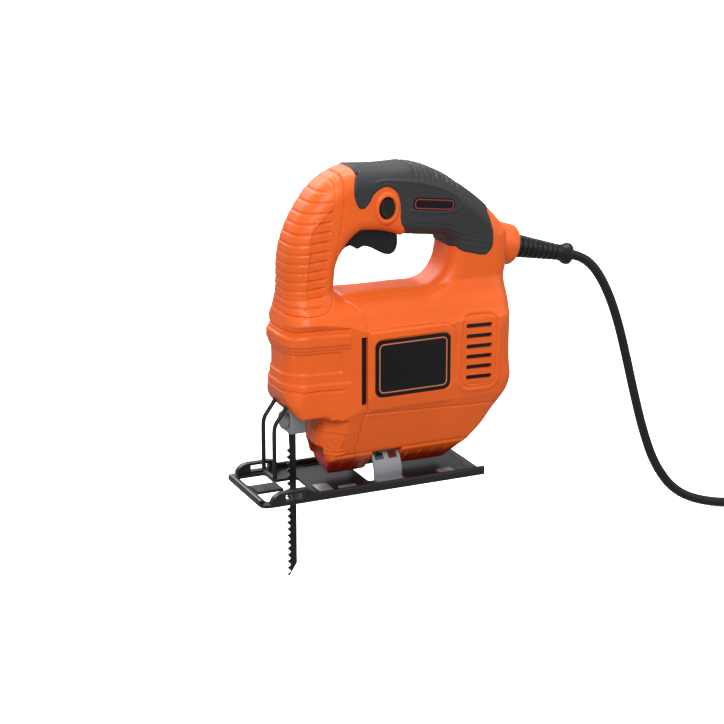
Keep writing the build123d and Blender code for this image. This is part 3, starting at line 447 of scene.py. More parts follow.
def mains_cord(on_it):
    """The lead hangs to the surface and winds into a tied coil, and its end turns into the plug."""
    points = list(ROUTE)
    per_turn = 14
    lanes = [(2, 0), (1, 0), (0, 0), (0, 1), (1, 1), (2, 1), (1.5, 2), (0.5, 2), (0.5, 2)]
    last = COIL_TURNS * per_turn - 4
    for k in range(2, last + 1):
        turn, part = divmod(k / per_turn, 1.0)
        a, b = lanes[int(turn)], lanes[min(int(turn) + 1, len(lanes) - 1)]
        ease = min(1.0, max(0.0, (part - 0.75) * 4))
        lane = a[0] + (b[0] - a[0]) * ease
        level = a[1] + (b[1] - a[1]) * ease
        r = COIL_R + (lane - 1) * (2 * CORD_R + 0.15)
        z = ON_FLOOR + 0.1 + level * 2 * CORD_R * 0.97
        z += max(0, k - last + 5) * 0.7
        angle = radians(205) + 2 * pi * k / per_turn
        points.append((COIL_X + r * cos(angle), r * sin(angle), z))
    points += [(291.5, 18.5, PLUG_Z - 4.5), (281.0, 9.0, PLUG_Z - 2.6), (274.4, -3.5, PLUG_Z - 1.2),
               (275.0, -17.5, PLUG_Z - 0.3), (284.0, -27.0, PLUG_Z), (294.0, PLUG_Y, PLUG_Z),
               (303.0, PLUG_Y, PLUG_Z)]
    curve = bpy.data.curves.new("mains_cord_lead", "CURVE")
    curve.dimensions = "3D"
    line = curve.splines.new("NURBS")
    line.points.add(len(points) - 1)
    for p, q in zip(line.points, points):
        p.co = (q[0] * MM, q[1] * MM, q[2] * MM, 1.0)
    line.order_u = 3
    line.use_endpoint_u = True
    line.resolution_u = 6
    curve.bevel_depth = CORD_R * MM
    curve.bevel_resolution = 5
    curve.use_fill_caps = True
    curve.materials.append(RUBBER)
    lead = placed("mains_cord_lead", curve)
    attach(lead, "housing")
    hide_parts("mains_cord", "cord_coil")


camera_and_light()
mains_cord(mains_plug())


# ---------------------------------------------------------------- housing and soft grip
SIDE = ([(-28.0, 47.0), (-43.5, 47.0)] + arc((-43.5, 47.0), (-50.6, 57.5), (-53.0, 70.0))[1:]
        + [(-53.0, 70.0)] + arc((-52.4, 97.0), (-49.4, 114.0), (-48.3, 135.0))
        + arc((-48.3, 135.0), (-43.8, 157.0), (-33.0, 175.6)) + arc((-33.0, 175.6), (-21.5, 186.8), (-5.0, 193.2))
        + arc((-5.0, 193.2), (10.0, 192.1), (28.5, 192.2)) + arc((28.5, 192.2), (47.4, 187.4), (61.4, 178.9))
        + arc((61.4, 178.9), (78.8, 165.6), (95.0, 148.5)) + arc((95.0, 148.5), (96.6, 134.0), (94.0, 118.0))
        + [(94.0, 118.0)] + arc((94.0, 62.0), (91.6, 49.6), (84.6, 38.5)) + [(84.6, 38.5), (56.5, 5.6)]
        + [(-19.8, 5.6), (-29.5, 27.0)])
FINGERS = (arc((-18.5, 124.0), (-17.0, 120.2), (-13.0, 118.8)) + arc((-13.0, 118.8), (12.0, 118.9), (36.0, 118.3))
           + arc((36.0, 118.3), (50.0, 123.0), (56.4, 136.0)) + arc((56.4, 136.0), (55.4, 144.6), (48.0, 149.0))
           + [(48.0, 149.0), (27.0, 151.6)] + arc((24.0, 150.5), (11.0, 155.0), (-2.0, 156.0))
           + arc((-2.0, 156.0), (-12.0, 146.5), (-18.0, 133.0)))
GRIP_EDGE = smooth_path([(-5.0, 200.0), (-7.4, 190.0), (-8.6, 180.0), (-6.0, 171.6), (-2.0, 169.8), (1.6, 172.6),
                         (5.6, 178.6), (12.6, 181.6), (19.0, 177.6), (21.2, 169.0), (21.6, 160.0), (26.4, 151.0),
                         (36.0, 143.0)], 6)[:-1]
GRIP_EDGE += [(44.0, 140.0), (56.0, 140.5), (63.0, 137.8), (74.0, 134.6)]
GRIP_EDGE += smooth_path([(78.5, 134.2), (82.6, 138.5), (83.4, 146.0), (82.4, 156.0), (83.6, 165.0),
                          (90.0, 172.0)], 5)
GRIP_EDGE += [(60.0, 204.0), (-5.0, 204.0)]


def step(x, a, b):
    """0 below a, 1 above b, smooth between."""
    t = np.clip((x - a) / (b - a), 0.0, 1.0)
    return t * t * (3 - 2 * t)


def outline_distance(p, outline, closed=True):
    """Distance of points to an outline, positive inside a closed one, and the direction that leads inwards."""
    q = np.array(outline)
    starts, ends = (q, np.roll(q, -1, axis=0)) if closed else (q[:-1], q[1:])
    turn = 1.0 if np.sum(starts[:, 0] * ends[:, 1] - ends[:, 0] * starts[:, 1]) > 0 else -1.0
    best = np.full(len(p), 1e9)
    ray, normal = np.zeros_like(p), np.zeros_like(p)
    inside = np.zeros(len(p), bool)
    for s, e in zip(starts, ends):
        d = e - s
        length2 = d @ d
        if length2 < 1e-12:
            continue
        t = np.clip(((p - s) @ d) / length2, 0.0, 1.0)
        r = p - (s + t[:, None] * d)
        dist = np.hypot(r[:, 0], r[:, 1])
        near = dist < best
        best = np.where(near, dist, best)
        ray = np.where(near[:, None], r / np.maximum(dist, 1e-9)[:, None], ray)
        normal = np.where(near[:, None], np.array([-d[1], d[0]]) * turn / np.sqrt(length2), normal)
        if closed:
            crosses = (s[1] > p[:, 1]) != (e[1] > p[:, 1])
            with np.errstate(divide="ignore", invalid="ignore"):
                at = s[0] + (p[:, 1] - s[1]) * (e[0] - s[0]) / (e[1] - s[1])
            inside ^= crosses & (p[:, 0] < at)
    if not closed:
        return best, ray
    sign = np.where(inside, 1.0, -1.0)
    return best * sign, np.where((best > 0.6)[:, None], ray * sign[:, None], normal)


def line_distance(p, line):
    """Distance of points to an open line."""
    return outline_distance(p, line, closed=False)[0]


def half_width(x, z):
    """Half the tool's thickness: keel, motor body, shoulders and handle, narrower at the nose."""
    section = np.interp(z, [5.6, 19.0, 25.0, 44.0, 50.0, 60.0, 93.0, 98.5, 101.0, 108.0, 114.0, 121.0],
                        [4.6, 17.6, 19.4, 24.4, 26.6, 28.5, 28.5, 28.0, 26.6, 23.6, 20.0, 17.0])
    plan = np.interp(x, [-54.0, -34.0, -14.0, -3.0, 3.0], [22.5, 22.5, 26.0, 28.0, 30.5])
    nose = 1.0 - step(z, 100.0, 116.0)
    bow = np.interp(x, [-31.0, -27.5, -13.0], [7.5, 12.5, 26.0]) + 20.0 * step(z, 44.0, 49.0)
    return np.minimum(np.minimum(section, plan * nose + 30.5 * (1 - nose)), bow)


EDGE_ROUND = [(-53, 75, 17), (-50, 100, 16), (-48, 130, 12.5), (-40, 165, 12.5), (-18, 188, 12), (20, 192, 12),
              (60, 180, 12), (92, 150, 11), (94, 120, 11), (94, 80, 13), (90, 48, 9), (70, 22, 4), (50, 6, 1.5),
              (-10, 6, 1.5), (-25, 15, 3), (-29, 35, 3), (-40, 47, 3), (-17, 123, 9), (10, 119, 12),
              (40, 119, 11), (56, 135, 9), (40, 150, 8), (10, 155, 7), (-14, 142, 9)]


def edge_round(x, z):
    """Radius that rounds the edge between the side and the rim, by place."""
    weight, total = 0.0, 0.0
    for ex, ez, r in EDGE_ROUND:
        w = 1.0 / ((x - ex) ** 2 + (z - ez) ** 2 + 9.0) ** 1.5
        weight, total = weight + w, total + w * r
    return total / weight


def groove(distance, width, depth, soft=0.5):
    """A groove of that width round distance 0, depth below the surface."""
    return -depth * (1 - step(np.abs(distance), width / 2 - soft / 2, width / 2 + soft / 2))


def box_distance(x, z, cx, cz, lx, lz, r, turn=0.0):
    """Signed distance to a rounded box, negative inside."""
    c, s = cos(radians(turn)), sin(radians(turn))
    u, v = (x - cx) * c + (z - cz) * s, -(x - cx) * s + (z - cz) * c
    qx, qz = np.abs(u) - lx / 2 + r, np.abs(v) - lz / 2 + r
    return np.hypot(np.maximum(qx, 0), np.maximum(qz, 0)) + np.minimum(np.maximum(qx, qz), 0) - r


RIB_ZONE = (smooth_path([(-20.3, 173.8), (-27.2, 166.2), (-34.1, 158.3), (-36.1, 145.7), (-37.5, 131.0),
                         (-38.4, 117.4)], 5)
            + smooth_path([(-31.0, 117.2), (-28.2, 118.6), (-26.2, 123.3), (-24.7, 139.4), (-23.1, 151.8),
                           (-21.4, 163.0)], 5))
COLUMN_BORDER = smooth_path([(-14.2, 191.0), (-14.4, 174.0), (-16.3, 158.8), (-18.9, 142.4), (-20.4, 129.3),
                             (-21.9, 118.5), (-25.6, 112.6), (-31.0, 110.4), (-44.0, 110.4), (-60.0, 111.4)], 8)
COLUMN_EDGE = smooth_path([(-20.6, 190.0), (-19.0, 180.0), (-19.6, 172.2), (-21.2, 158.2), (-22.6, 151.8),
                           (-24.1, 139.4), (-25.6, 123.3), (-27.6, 116.4), (-34.0, 114.6), (-60.0, 115.2)], 8)
PARTING = smooth_path([(-18.0, 123.5), (-15.4, 120.0), (-8.8, 113.0), (-5.6, 106.4), (-4.2, 98.0),
                       (-4.8, 94.0)], 6)
CREASE = smooth_path([(-14.0, 99.6), (0.0, 98.6), (41.0, 98.6), (50.0, 96.6), (53.6, 90.0), (54.0, 84.0)], 6)
PARTING_LOW = smooth_path([(-4.8, 54.0), (-4.0, 50.5), (-6.0, 43.0), (-7.4, 31.0), (-8.2, 18.0), (-8.6, 4.0)], 6)
RIB_Z = [180.5, 174.6, 168.8, 163.0, 157.3, 151.6, 146.0, 140.5, 135.1, 129.8, 124.6, 119.4]
VENT_BOX = (69.1, 78.5, 22.6, 44.5, 6.0)
ICON_BOX = (-21.6, 29.6, 14.4, 14.4, 2.4)
LABEL = (24.9, 75.6)
BADGE, BADGE_TURN = (43.2, 168.9), -7.0
BUTTON = (12.8, 169.3)


def housing_relief(p, q, side):
    """How far the moulding stands proud (+) or is cut in (-): p is the slab's point, q the rounded form's."""
    x, z = q[:, 0], q[:, 1]
    out = np.zeros(len(p))
    # column: fine grooves round the front, a sunk rib zone beside them, two border lines
    zone, _ = outline_distance(q, RIB_ZONE)
    border, edge = line_distance(q, COLUMN_BORDER), line_distance(q, COLUMN_EDGE)
    in_zone = step(zone, -0.2, 0.4)
    slant = z - 0.06 * (x + 40.0)
    ridge = np.zeros(len(p))
    for level in RIB_Z:
        ridge = np.maximum(ridge, 1 - step(np.abs(slant - level), 0.25, 0.95))
    rear = np.interp(z, [110.0, 117.0, 139.0, 158.0, 172.0, 190.0], [-30.0, -27.6, -24.9, -22.4, -20.6, -21.6])
    inside = step(rear - x, 0.0, 0.8) * (z > 113.0)
    out += inside * ridge * (-0.40 - 0.55 * in_zone) - 0.45 * in_zone
    out += 0.35 * (1 - step(np.abs(zone + 0.9), 0.3, 0.9)) * (x < -30.0)
    out += groove(border, 0.9, 0.70, 0.6) * (z > 100) + groove(edge, 0.8, 0.35, 0.6) * (z > 112)
    pad, _ = outline_distance(p, GRIP_EDGE)
    out += -1.3 * step(pad, 0.6, 1.4)
    x, z = p[:, 0], p[:, 1]
    # nose: stepped bands and a sunk panel that wrap round the front
    front = 1 - step(x, -15.5, -13.5)
    out += front * (-0.9) * step(z, 68.6, 69.6) * (1 - step(z, 89.2, 90.4))
    inner = box_distance(x, z, -48.0, 81.4, 58.0, 12.6, 2.0)
    out += -1.0 * (1 - step(inner, -0.4, 0.4)) * front
    out += front * 0.9 * (1 - step(np.abs(z - 95.2), 2.6, 3.8))
    out += front * groove(z - 101.5, 1.2, 0.8)
    out += front * groove(z - 64.4, 1.3, 0.8) * (x < -18)
    # shoulder crease along the motor body, with its turn down at the rear
    out += groove(line_distance(p, CREASE), 1.0, 0.55) * (x > -3.0)
    out += (0.55 * step(x, -2.6, -1.4) * (1 - step(z, 97.6, 98.8)) * step(z, 48.0, 51.0)
            * (1 - step(x, 50.5, 53.5)))
    # parting line of the front cover
    for line in (PARTING, PARTING_LOW):
        out += groove(line_distance(p, line), 0.8, 0.8, 0.4)
    # vent field: sunk, framed
    vent = box_distance(x, z, *VENT_BOX, turn=-2.0)
    out += groove(vent, 0.9, 0.5) + (-0.5) * (1 - step(vent, -1.4, -0.6))
    out += 0.5 * (1 - step(np.abs(box_distance(x, z, 69.1, 78.5, 26.5, 48.5, 7.5, -2.0)), 0.5, 1.2))
    # lower housing: step, ribs at the keel
    out += groove(z - 47.5 + 0.05 * x, 1.0, 0.5) * (x > -6.0) * (x < 86)
    out += groove(z - 21.0, 0.9, 0.5) * (x > -20.0) * (x < 66)
    keel = 0.9 * (1 - step(z, 15.0, 17.0)) * step(z, 7.5, 8.5)
    for rib in range(9):
        out += keel * (1 - step(np.abs(x - (-15.0 + rib * 8.6)), 0.5, 1.0))
    # left half only: the label's seat and the ring in a frame on the front cover
    left = side < 0
    out += -0.75 * (1 - step(box_distance(x, z, *LABEL, 50.4, 36.2, 5.4), -0.3, 0.2)) * left
    cx, cz = ICON_BOX[:2]
    frame_line = np.abs(box_distance(x, z, *ICON_BOX)) - 0.45
    ring = np.abs(np.hypot(x - cx, z - cz - 0.6) - 3.6) - 0.45
    bar = box_distance(x, z, cx, cz - 4.6, 9.0, 0.9, 0.4)
    tick = box_distance(x, z, cx, cz + 0.8, 0.9, 4.6, 0.4)
    mark = np.minimum(np.minimum(frame_line, ring), np.minimum(bar, tick))
    return out + 0.45 * (1 - step(mark, -0.1, 0.35)) * left


EXIT_DIR = Vector((cos(radians(13.8)), 0.0, -sin(radians(13.8))))


def on_exit_line(x):
    """The point of the cord's exit line at this x."""
    return Vector(EXIT) + EXIT_DIR * ((x - EXIT[0]) / EXIT_DIR.x)


def moulded(obj, relief):
    """Rounds a flat slab into its real form: half thickness, edge radius and relief vary over the side view."""
    mesh = obj.data
    v = mesh_points(mesh)
    p = v[:, [0, 2]].copy()
    side = np.where(v[:, 1] < 0, -1.0, 1.0)
    depth, inward = outline_distance(p, SIDE)
    hollow, away = outline_distance(p, FINGERS)
    closer = -hollow < depth
    depth = np.maximum(np.where(closer, -hollow, depth), 0.0)
    inward = np.where(closer[:, None], -away, inward)
    w = half_width(p[:, 0], p[:, 1])
    slab = np.abs(v[:, 1]).max()
    e = w * (1.0 - np.abs(v[:, 1]) / slab)
    r = np.minimum(edge_round(p[:, 0], p[:, 1]), w - 0.3)
    a, b = np.clip(r - depth, 0.0, None), np.clip(r - e, 0.0, None)
    hyp = np.maximum(np.hypot(a, b), 1e-9)
    k = np.where((a > 0) & (b > 0), np.maximum(a, b) / hyp, 1.0)
    a2, b2 = a * k, b * k
    normal_in = np.where((a > 0)[:, None], inward, 0.0) * (a2 / np.maximum(np.hypot(a2, b2), 1e-9))[:, None]
    normal_y = np.where(b > 0, b2 / np.maximum(np.hypot(a2, b2), 1e-9), 0.0)
    flat_side = (b > 0) & (a <= 0)
    normal_y = np.where(flat_side, 1.0, normal_y)
    normal_in = np.where(flat_side[:, None], 0.0, normal_in)
    shell = step(np.maximum(a, b) / np.maximum(r, 1e-6), 0.80, 0.97)
    new = np.empty_like(v)
    moved = p + inward * (a - a2)[:, None]
    h = relief(p, moved, side) * shell
    new[:, 0] = moved[:, 0] - normal_in[:, 0] * h
    new[:, 2] = moved[:, 1] - normal_in[:, 1] * h
    new[:, 1] = side * (w - (e + (b - b2))) + side * normal_y * h
    mesh.vertices.foreach_set("co", new.reshape(-1))
    mesh.update()


def side_view_slab(name, half):
    """The tool's side view with its finger opening, a flat slab."""
    slab = solid(name, lambda bm: prism(bm, SIDE, -half, half))
    cut(slab, "opening", lambda bm: prism(bm, FINGERS, -40.0, 40.0), solver="EXACT")
    return slab


def parted(whole, stem, ending, mat, smooth, mark=None):
    """Parts a moulding on the middle plane and finishes its left and right halves."""
    for side, y0, y1 in (("left", -45.0, -PARTING_GAP), ("right", PARTING_GAP, 45.0)):
        node = f"{stem}_{side}"
        half = placed(node + ending, whole.data.copy())
        cut(half, "keep", lambda bm: prism(bm, rectangle(-90, 140, -20, 230), y0, y1), "INTERSECT")
        mesh = half.data.copy()
        bpy.data.objects.remove(half)
        mesh.transform(Matrix.Scale(MM, 4))
        mesh.name = node + ending
        if mark:
            mark(mesh)
        finish_object(mesh, node + ending, mat, "housing", smooth, (node,))
    bpy.data.objects.remove(whole)


def air_slots(bm):
    """The long slot behind the front cover and the six short ones of the vent field, on both sides."""
    for s in (-1, 1):
        prism(bm, rounded_corners(rectangle(-8.0, -4.2, 54.0, 96.0), 0.8), *sorted((s * 24.6, s * 36.0)))
        for row in range(6):
            z = 78.5 + (row - 2.5) * 6.4
            slot = [(60.4, z - 1.1), (77.8, z - 1.7), (77.8, z + 1.1), (60.4, z + 1.7)]
            prism(bm, rounded_corners(slot, 1.2), *sorted((s * 25.7, s * 36.0)))


def housing_halves(voxel):
    """One body shaped from its side view, bored, slotted and parted on the middle plane."""
    body = side_view_slab("body", 30.0)
    remeshed(body, voxel)
    moulded(body, housing_relief)
    boss = [(0, 13.2), (9.0, 12.6), (11.4, 12.2), (12.4, 11.4), (12.6, 9.0)]
    cut(body, "cord_boss", lambda bm: lathe(bm, boss, on_exit_line(92.0), EXIT_DIR, 64), "UNION")
    cut(body, "cord_entry", lambda bm: lathe(bm, [(0, 7.2), (10.0, 7.2)], on_exit_line(98.0), EXIT_DIR, 48))
    cut(body, "openings", air_slots)
    nose = rounded_corners(rectangle(-48.6, -30.0, -7.0, 7.0), 3.0)
    cut(body, "nose_bore", lambda bm: prism(bm, nose, 40.0, 66.0, "XY"))
    mouth = rounded_corners([(-36.0, 8.5), (-24.6, 8.5), (-19.0, 25.5), (-36.0, 27.0)], 1.5)
    cut(body, "dust_mouth", lambda bm: prism(bm, mouth, -12.5, 12.5))
    cut(body, "cradle_seat", lambda bm: lathe(bm, [(0, 20.4), (20.0, 20.4)], (3.0, 0, 4.0), (1, 0, 0), 64))
    flange = rectangle(3.0, 23.0, -2.0, 21.2)
    for s in (-1, 1):
        cut(body, "flange_clear", lambda bm: prism(bm, flange, *sorted((s * 13.6, s * 30.0))))
    cut(body, "trigger_mouth", lambda bm: prism(bm, rectangle(-13.0, 25.6, 140.0, 160.0), -7.1, 7.1))
    well = [(BUTTON[0] + 5.5 * cos(t * pi / 24), BUTTON[1] + 6.8 * sin(t * pi / 24)) for t in range(48)]
    cut(body, "button_well", lambda bm: prism(bm, well, -20.0, -11.0))
    for x, z in SCREWS:
        floor = surface_y(x, z) - 5.0
        cut(body, "screw_hole", lambda bm: lathe(bm, [(0, 3.8), (24.0, 3.8)], (x, floor, z), (0, 1, 0), 40))
    # the mark paints shade on the keel and inside the blower mouth
    parted(body, "housing", "_shell", ORANGE, 32.0, mark_painted_shade)


SCREWS = [(-36.0, 160.0), (-14.0, 181.0), (36.0, 181.0), (66.0, 159.0), (87.0, 112.0), (86.0, 50.0), (50.0, 26.0),
          (-14.0, 32.0)]


def surface_y(x, z):
    """How far the moulding's skin lies from the middle plane at a place in the side view."""
    place = np.array([[x, z]])
    depth = min(outline_distance(place, SIDE)[0][0], -outline_distance(place, FINGERS)[0][0])
    w, r = half_width(x, z), edge_round(x, z)
    return float(w - (r - np.sqrt(max(r * r - (r - depth) ** 2, 0.0)) if depth < r else 0.0))


def case_screws():
    """Pan heads with a cross recess, sunk in the right half's holes."""
    for index, (x, z) in enumerate(SCREWS):
        y = surface_y(x, z) - 3.0
        pan = [(-6.0, 1.5), (-1.6, 1.5), (-1.6, 3.1), (-0.9, 3.3), (-0.3, 3.0), (0.0, 2.2)]
        screw = solid("head", lambda bm: lathe(bm, pan, (x, y, z), (0, 1, 0), 32))
        for turn in (0.4 * index, pi / 2 + 0.4 * index):
            cut(screw, "recess", lambda bm: block(bm, (3.6, 2.4, 0.8), (x, y + 0.3, z), turn), solver="EXACT")
        finish_mesh(opened(screw), f"case_screw_{index}", ZINC, "housing", smooth=35,
                    replaces=("housing_screws",) if index == 0 else ())


def mark_painted_shade(mesh):
    """Marks the keel and the inside of the blower mouth, where painted shade turns the plastic deep red."""
    x, y, z = (mesh_points(mesh) / MM).T
    # painted shade: keel is the down-facing lower edge, mouth is the inside of the blower mouth
    keel = 1.0 - step(z + 0.05 * x, 13.0, 19.5)
    mouth = (x < -19.0) * (z < 27.0) * (np.abs(y) < 12.4) * (x > -35.5)
    deep = np.clip(np.maximum(keel * 0.95, mouth), 0.0, 1.0)
    mesh.attributes.new("deep", "FLOAT", "POINT").data.foreach_set("value", deep)


def slot_shade_sheets():
    """Black sheets behind the air slots of both halves: painted shade for the dark inside of the tool."""
    bm = bmesh.new()
    for s in (-1, 1):
        for x0, x1, z0, z1, y in ((-9.0, -3.2, 53.0, 97.0, 24.0), (59.4, 78.8, 59.5, 97.5, 25.2)):
            block(bm, (x1 - x0, 0.9, z1 - z0), ((x0 + x1) / 2, s * (y + 0.45), (z0 + z1) / 2))
    finish_mesh(bm, "painted_slot_shade", BLACK, "housing", bevel=0.1)


def grip_relief(p, q, side):
    """Transverse ribs over the back of the hand, a raised line along the pad and its rounded lip."""
    x, z = p[:, 0], p[:, 1]
    out = np.zeros(len(p))
    pad = smooth_path([(6.0, 185.0), (13.0, 185.6), (27.3, 183.6), (40.0, 180.6), (52.0, 176.4), (60.0, 171.0),
                       (60.5, 166.0), (54.0, 163.4), (40.0, 164.4), (28.0, 166.6)], 8)
    out += 0.55 * (1 - step(line_distance(p, pad), 0.5, 1.2))
    above = step(z - np.interp(x, [27.3, 40.0, 52.0, 60.0], [184.6, 181.6, 177.4, 172.0]), 0.4, 1.6)
    for k in range(9):
        at = 31.5 + k * 3.9
        out += -0.8 * above * (1 - step(np.abs(x - at + 0.12 * (187 - z)), 0.35, 1.15)) * step(z, 158.0, 166.0)
    lip, _ = outline_distance(p, GRIP_EDGE)
    out += -0.7 * (1 - step(lip, 0.2, 1.5)) + groove(lip - 3.4, 0.7, 0.25)
    for low in range(3):
        seam = smooth_path([(30.0, 158.0 - low * 4.5), (48.0, 156.0 - low * 3.8), (66.0, 150.0 - low * 3.0),
                            (78.0, 146.0 - low * 2.4)], 6)
        out += groove(line_distance(p, seam), 0.8, 0.35)
    return out


def soft_grip(voxel):
    """The rubber pads moulded over both halves' handle."""
    pad = solid("pad", lambda bm: prism(bm, GRIP_EDGE, -30.0, 30.0))
    combine(pad, side_view_slab("outer", 35.0), "INTERSECT", "EXACT")
    cut(pad, "mouth", lambda bm: prism(bm, rectangle(-13.0, 25.8, 140.0, 158.0), -40, 40), solver="EXACT")
    remeshed(pad, voxel)
    moulded(pad, grip_relief)
    mesh = pad.data
    normals = np.empty(len(mesh.vertices) * 3)
    mesh.vertex_normals.foreach_get("vector", normals)
    proud = mesh_points(mesh) + normals.reshape(-1, 3) * 0.55
    mesh.vertices.foreach_set("co", proud.reshape(-1))
    mesh.update()
    parted(pad, "grip", "_pad", SOFT, 35.0)


VOXEL = 0.7
housing_halves(VOXEL)
# painted shade behind the air slots
slot_shade_sheets()
case_screws()
soft_grip(VOXEL)


# ---------------------------------------------------------------- switch, label and badge
SLIM = 0.80


def oval_turned(bm, profile, ring=False):
    """Turned about the button's axis, then narrowed to its oval."""
    lathe(bm, profile, (BUTTON[0], 0, BUTTON[1]), (0, 1, 0), 56, ring)
    bmesh.ops.scale(bm, verts=bm.verts[:], vec=(SLIM, 1, 1),
                    space=Matrix.Translation((-BUTTON[0], 0, -BUTTON[1])))


def lock_button():
    """Dished button and the raised ring of the housing round it."""
    bm = bmesh.new()
    oval_turned(bm, [(-12.6, 6.2), (-16.4, 6.2), (-17.4, 6.0), (-17.95, 5.4), (-17.9, 4.6), (-17.55, 3.7),
                     (-17.4, 2.2)])
    finish_mesh(bm, "lock_button_cap", BLACK, "lock_button", replaces=("lock_button",))
    bm = bmesh.new()
    oval_turned(bm, [(-15.0, 6.65), (-17.4, 6.65), (-18.2, 7.0), (-18.5, 7.7), (-18.3, 8.8), (-17.6, 9.7),
                     (-16.0, 10.2), (-15.0, 10.2)], ring=True)
    finish_mesh(bm, "button_ring", ORANGE, "housing")


def trigger():
    """Switch lever with its finger curve below."""
    outline = smooth_path([(-12.0, 142.4), (-10.0, 145.0), (-6.4, 146.4), (-3.7, 145.8), (-1.6, 143.9),
                           (3.0, 145.2), (7.9, 143.5), (12.2, 141.0), (16.4, 139.0), (20.4, 138.7),
                           (23.4, 141.0), (24.6, 145.0)], 6)
    outline += [(24.2, 153.0), (18.0, 156.6), (6.0, 156.9), (-8.0, 156.9), (-11.5, 151.0)]
    bm = bmesh.new()
    prism(bm, outline, -6.4, 6.4)
    round_rim(bm, 1, 1.5, 4)
    finish_mesh(bm, "trigger_lever", BLACK, "trigger", replaces=("trigger",))


def pivot_pin():
    """The trigger's pin, cut back inside the lever."""
    bm = bmesh.new()
    lathe(bm, [(-6.1, 0.9), (-5.9, 1.2), (5.9, 1.2), (6.1, 0.9)], (-6.5, 0.0, 152.0), (0, 1, 0), 24)
    finish_mesh(bm, "pivot_pin", STEEL, "housing", replaces=("trigger_pin",))


def flat_frame(bm, outline, width, y0, y1):
    """A thin frame of even width just inside an outline."""
    face = bm.faces.new([bm.verts.new((x, y0, z)) for x, z in outline])
    bm.normal_update()
    rim = bmesh.ops.inset_region(bm, faces=[face], thickness=width, use_boundary=True, use_even_offset=True)
    bmesh.ops.delete(bm, geom=[face], context="FACES_ONLY")
    top = bmesh.ops.extrude_face_region(bm, geom=rim["faces"])
    bmesh.ops.translate(bm, verts=moved_verts(top), vec=(0, y1 - y0, 0))


def box_outline(cx, cz, lx, lz, r, turn=0.0):
    """A rounded box's outline round a centre, turned in its plane."""
    corners = rectangle(-lx / 2, lx / 2, -lz / 2, lz / 2)
    c, s = cos(radians(turn)), sin(radians(turn))
    return [(cx + u * c - v * s, cz + u * s + v * c) for u, v in rounded_corners(corners, r, 8)]


def label_plate():
    """Plain dark plate and the thin line round its face."""
    bm = bmesh.new()
    prism(bm, box_outline(*LABEL, 49.2, 35.0, 5.0), -27.9, -28.75)
    finish_mesh(bm, "label_face", GLOSS, "housing", bevel=0.25, replaces=("label_plate",))
    bm = bmesh.new()
    flat_frame(bm, box_outline(*LABEL, 44.6, 30.4, 3.6), 0.7, -28.6, -28.86)
    finish_mesh(bm, "label_outline", INK, "housing")


def grip_badge():
    """Plain pill on the grip and the thin line round its face."""
    bm = bmesh.new()
    prism(bm, box_outline(*BADGE, 27.4, 7.6, 3.75, BADGE_TURN), -16.6, -17.85)
    finish_mesh(bm, "badge_pill", GLOSS, "housing", bevel=0.3, replaces=("grip_badge",))
    bm = bmesh.new()
    flat_frame(bm, box_outline(*BADGE, 25.6, 5.8, 2.85, BADGE_TURN), 0.5, -17.7, -17.98)
    finish_mesh(bm, "badge_outline", RED_LINE, "housing")


# ---------------------------------------------------------------- sole
def sole_plate():
    """Pressed plate with rolled side rails, front bar, fence lugs, windows, blade notch and cradle window."""
    blank = rounded_corners([(-73, -30, 6), (73, -30, 1.2), (73, 30, 1.2), (-73, 30, 6)], 2)
    plate = solid("plate", lambda bm: prism(bm, blank, 0.0, 1.8, "XY"))

    def add(name, build):
        cut(plate, name, build, "UNION", "EXACT")

    def punch(name, outline, a=-2.0, b=4.0, plane="XY"):
        cut(plate, name, lambda bm: prism(bm, outline, a, b, plane), solver="EXACT")

    roll = [(0.0, 0.0), (2.7, 0.0), (2.7, 4.0), (2.2, 4.9), (1.35, 5.2), (0.5, 4.9), (0.0, 4.0)]
    lug = smooth_path([(-67.0, 3.0), (-64.6, 6.4), (-61.0, 8.0), (-54.0, 8.0), (-45.0, 8.0), (-41.0, 6.4),
                       (-38.0, 3.0)], 5) + [(-38.0, 0.5), (-67.0, 0.5)]
    for s in (-1, 1):
        add("rail", lambda bm: prism(bm, [(s * (30.0 - y), z) for y, z in roll], -66.5, 73.0, "YZ"))
        add("lug", lambda bm: prism(bm, lug, *sorted((s * 30.0, s * 26.0))))
        punch("slot", rectangle(-58.0, -46.0, 2.8, 6.6), *sorted((s * 23.0, s * 32.0)), "XZ")
        punch("window", rounded_corners(rectangle(-68.0, -50.0, s * 6.0, s * 23.5), 2.6))
    bar = [(0.0, 0.0), (3.0, 0.0), (3.0, 2.4), (2.4, 3.4), (1.4, 3.8), (0.4, 3.4), (0.0, 2.4)]
    add("bar", lambda bm: prism(bm, [(x - 72.9, z) for x, z in bar], -25.0, 25.0))
    punch("notch", rounded_corners([(-50.2, -9.0, 0.4), (-35.0, -9.0), (-35.0, 9.0), (-50.2, 9.0, 0.4)], 3.0))
    punch("cradle_window", rounded_corners(rectangle(1.5, 23.5, -16.0, 16.0), 2.0))
    for s in (-1, 1):
        punch("bead", rounded_corners(rectangle(-24.0, 66.0, s * 24.4, s * 22.6), 0.8), 1.3, 3.0)
    bm = opened(plate)
    bmesh.ops.remove_doubles(bm, verts=bm.verts[:], dist=1e-4)
    bmesh.ops.dissolve_limit(bm, angle_limit=radians(1.0), verts=bm.verts[:], edges=bm.edges[:])
    finish_mesh(bm, "sole_pressing", SOLE, "sole", bevel=0.28, smooth=35,
                replaces=("sole_plate",))


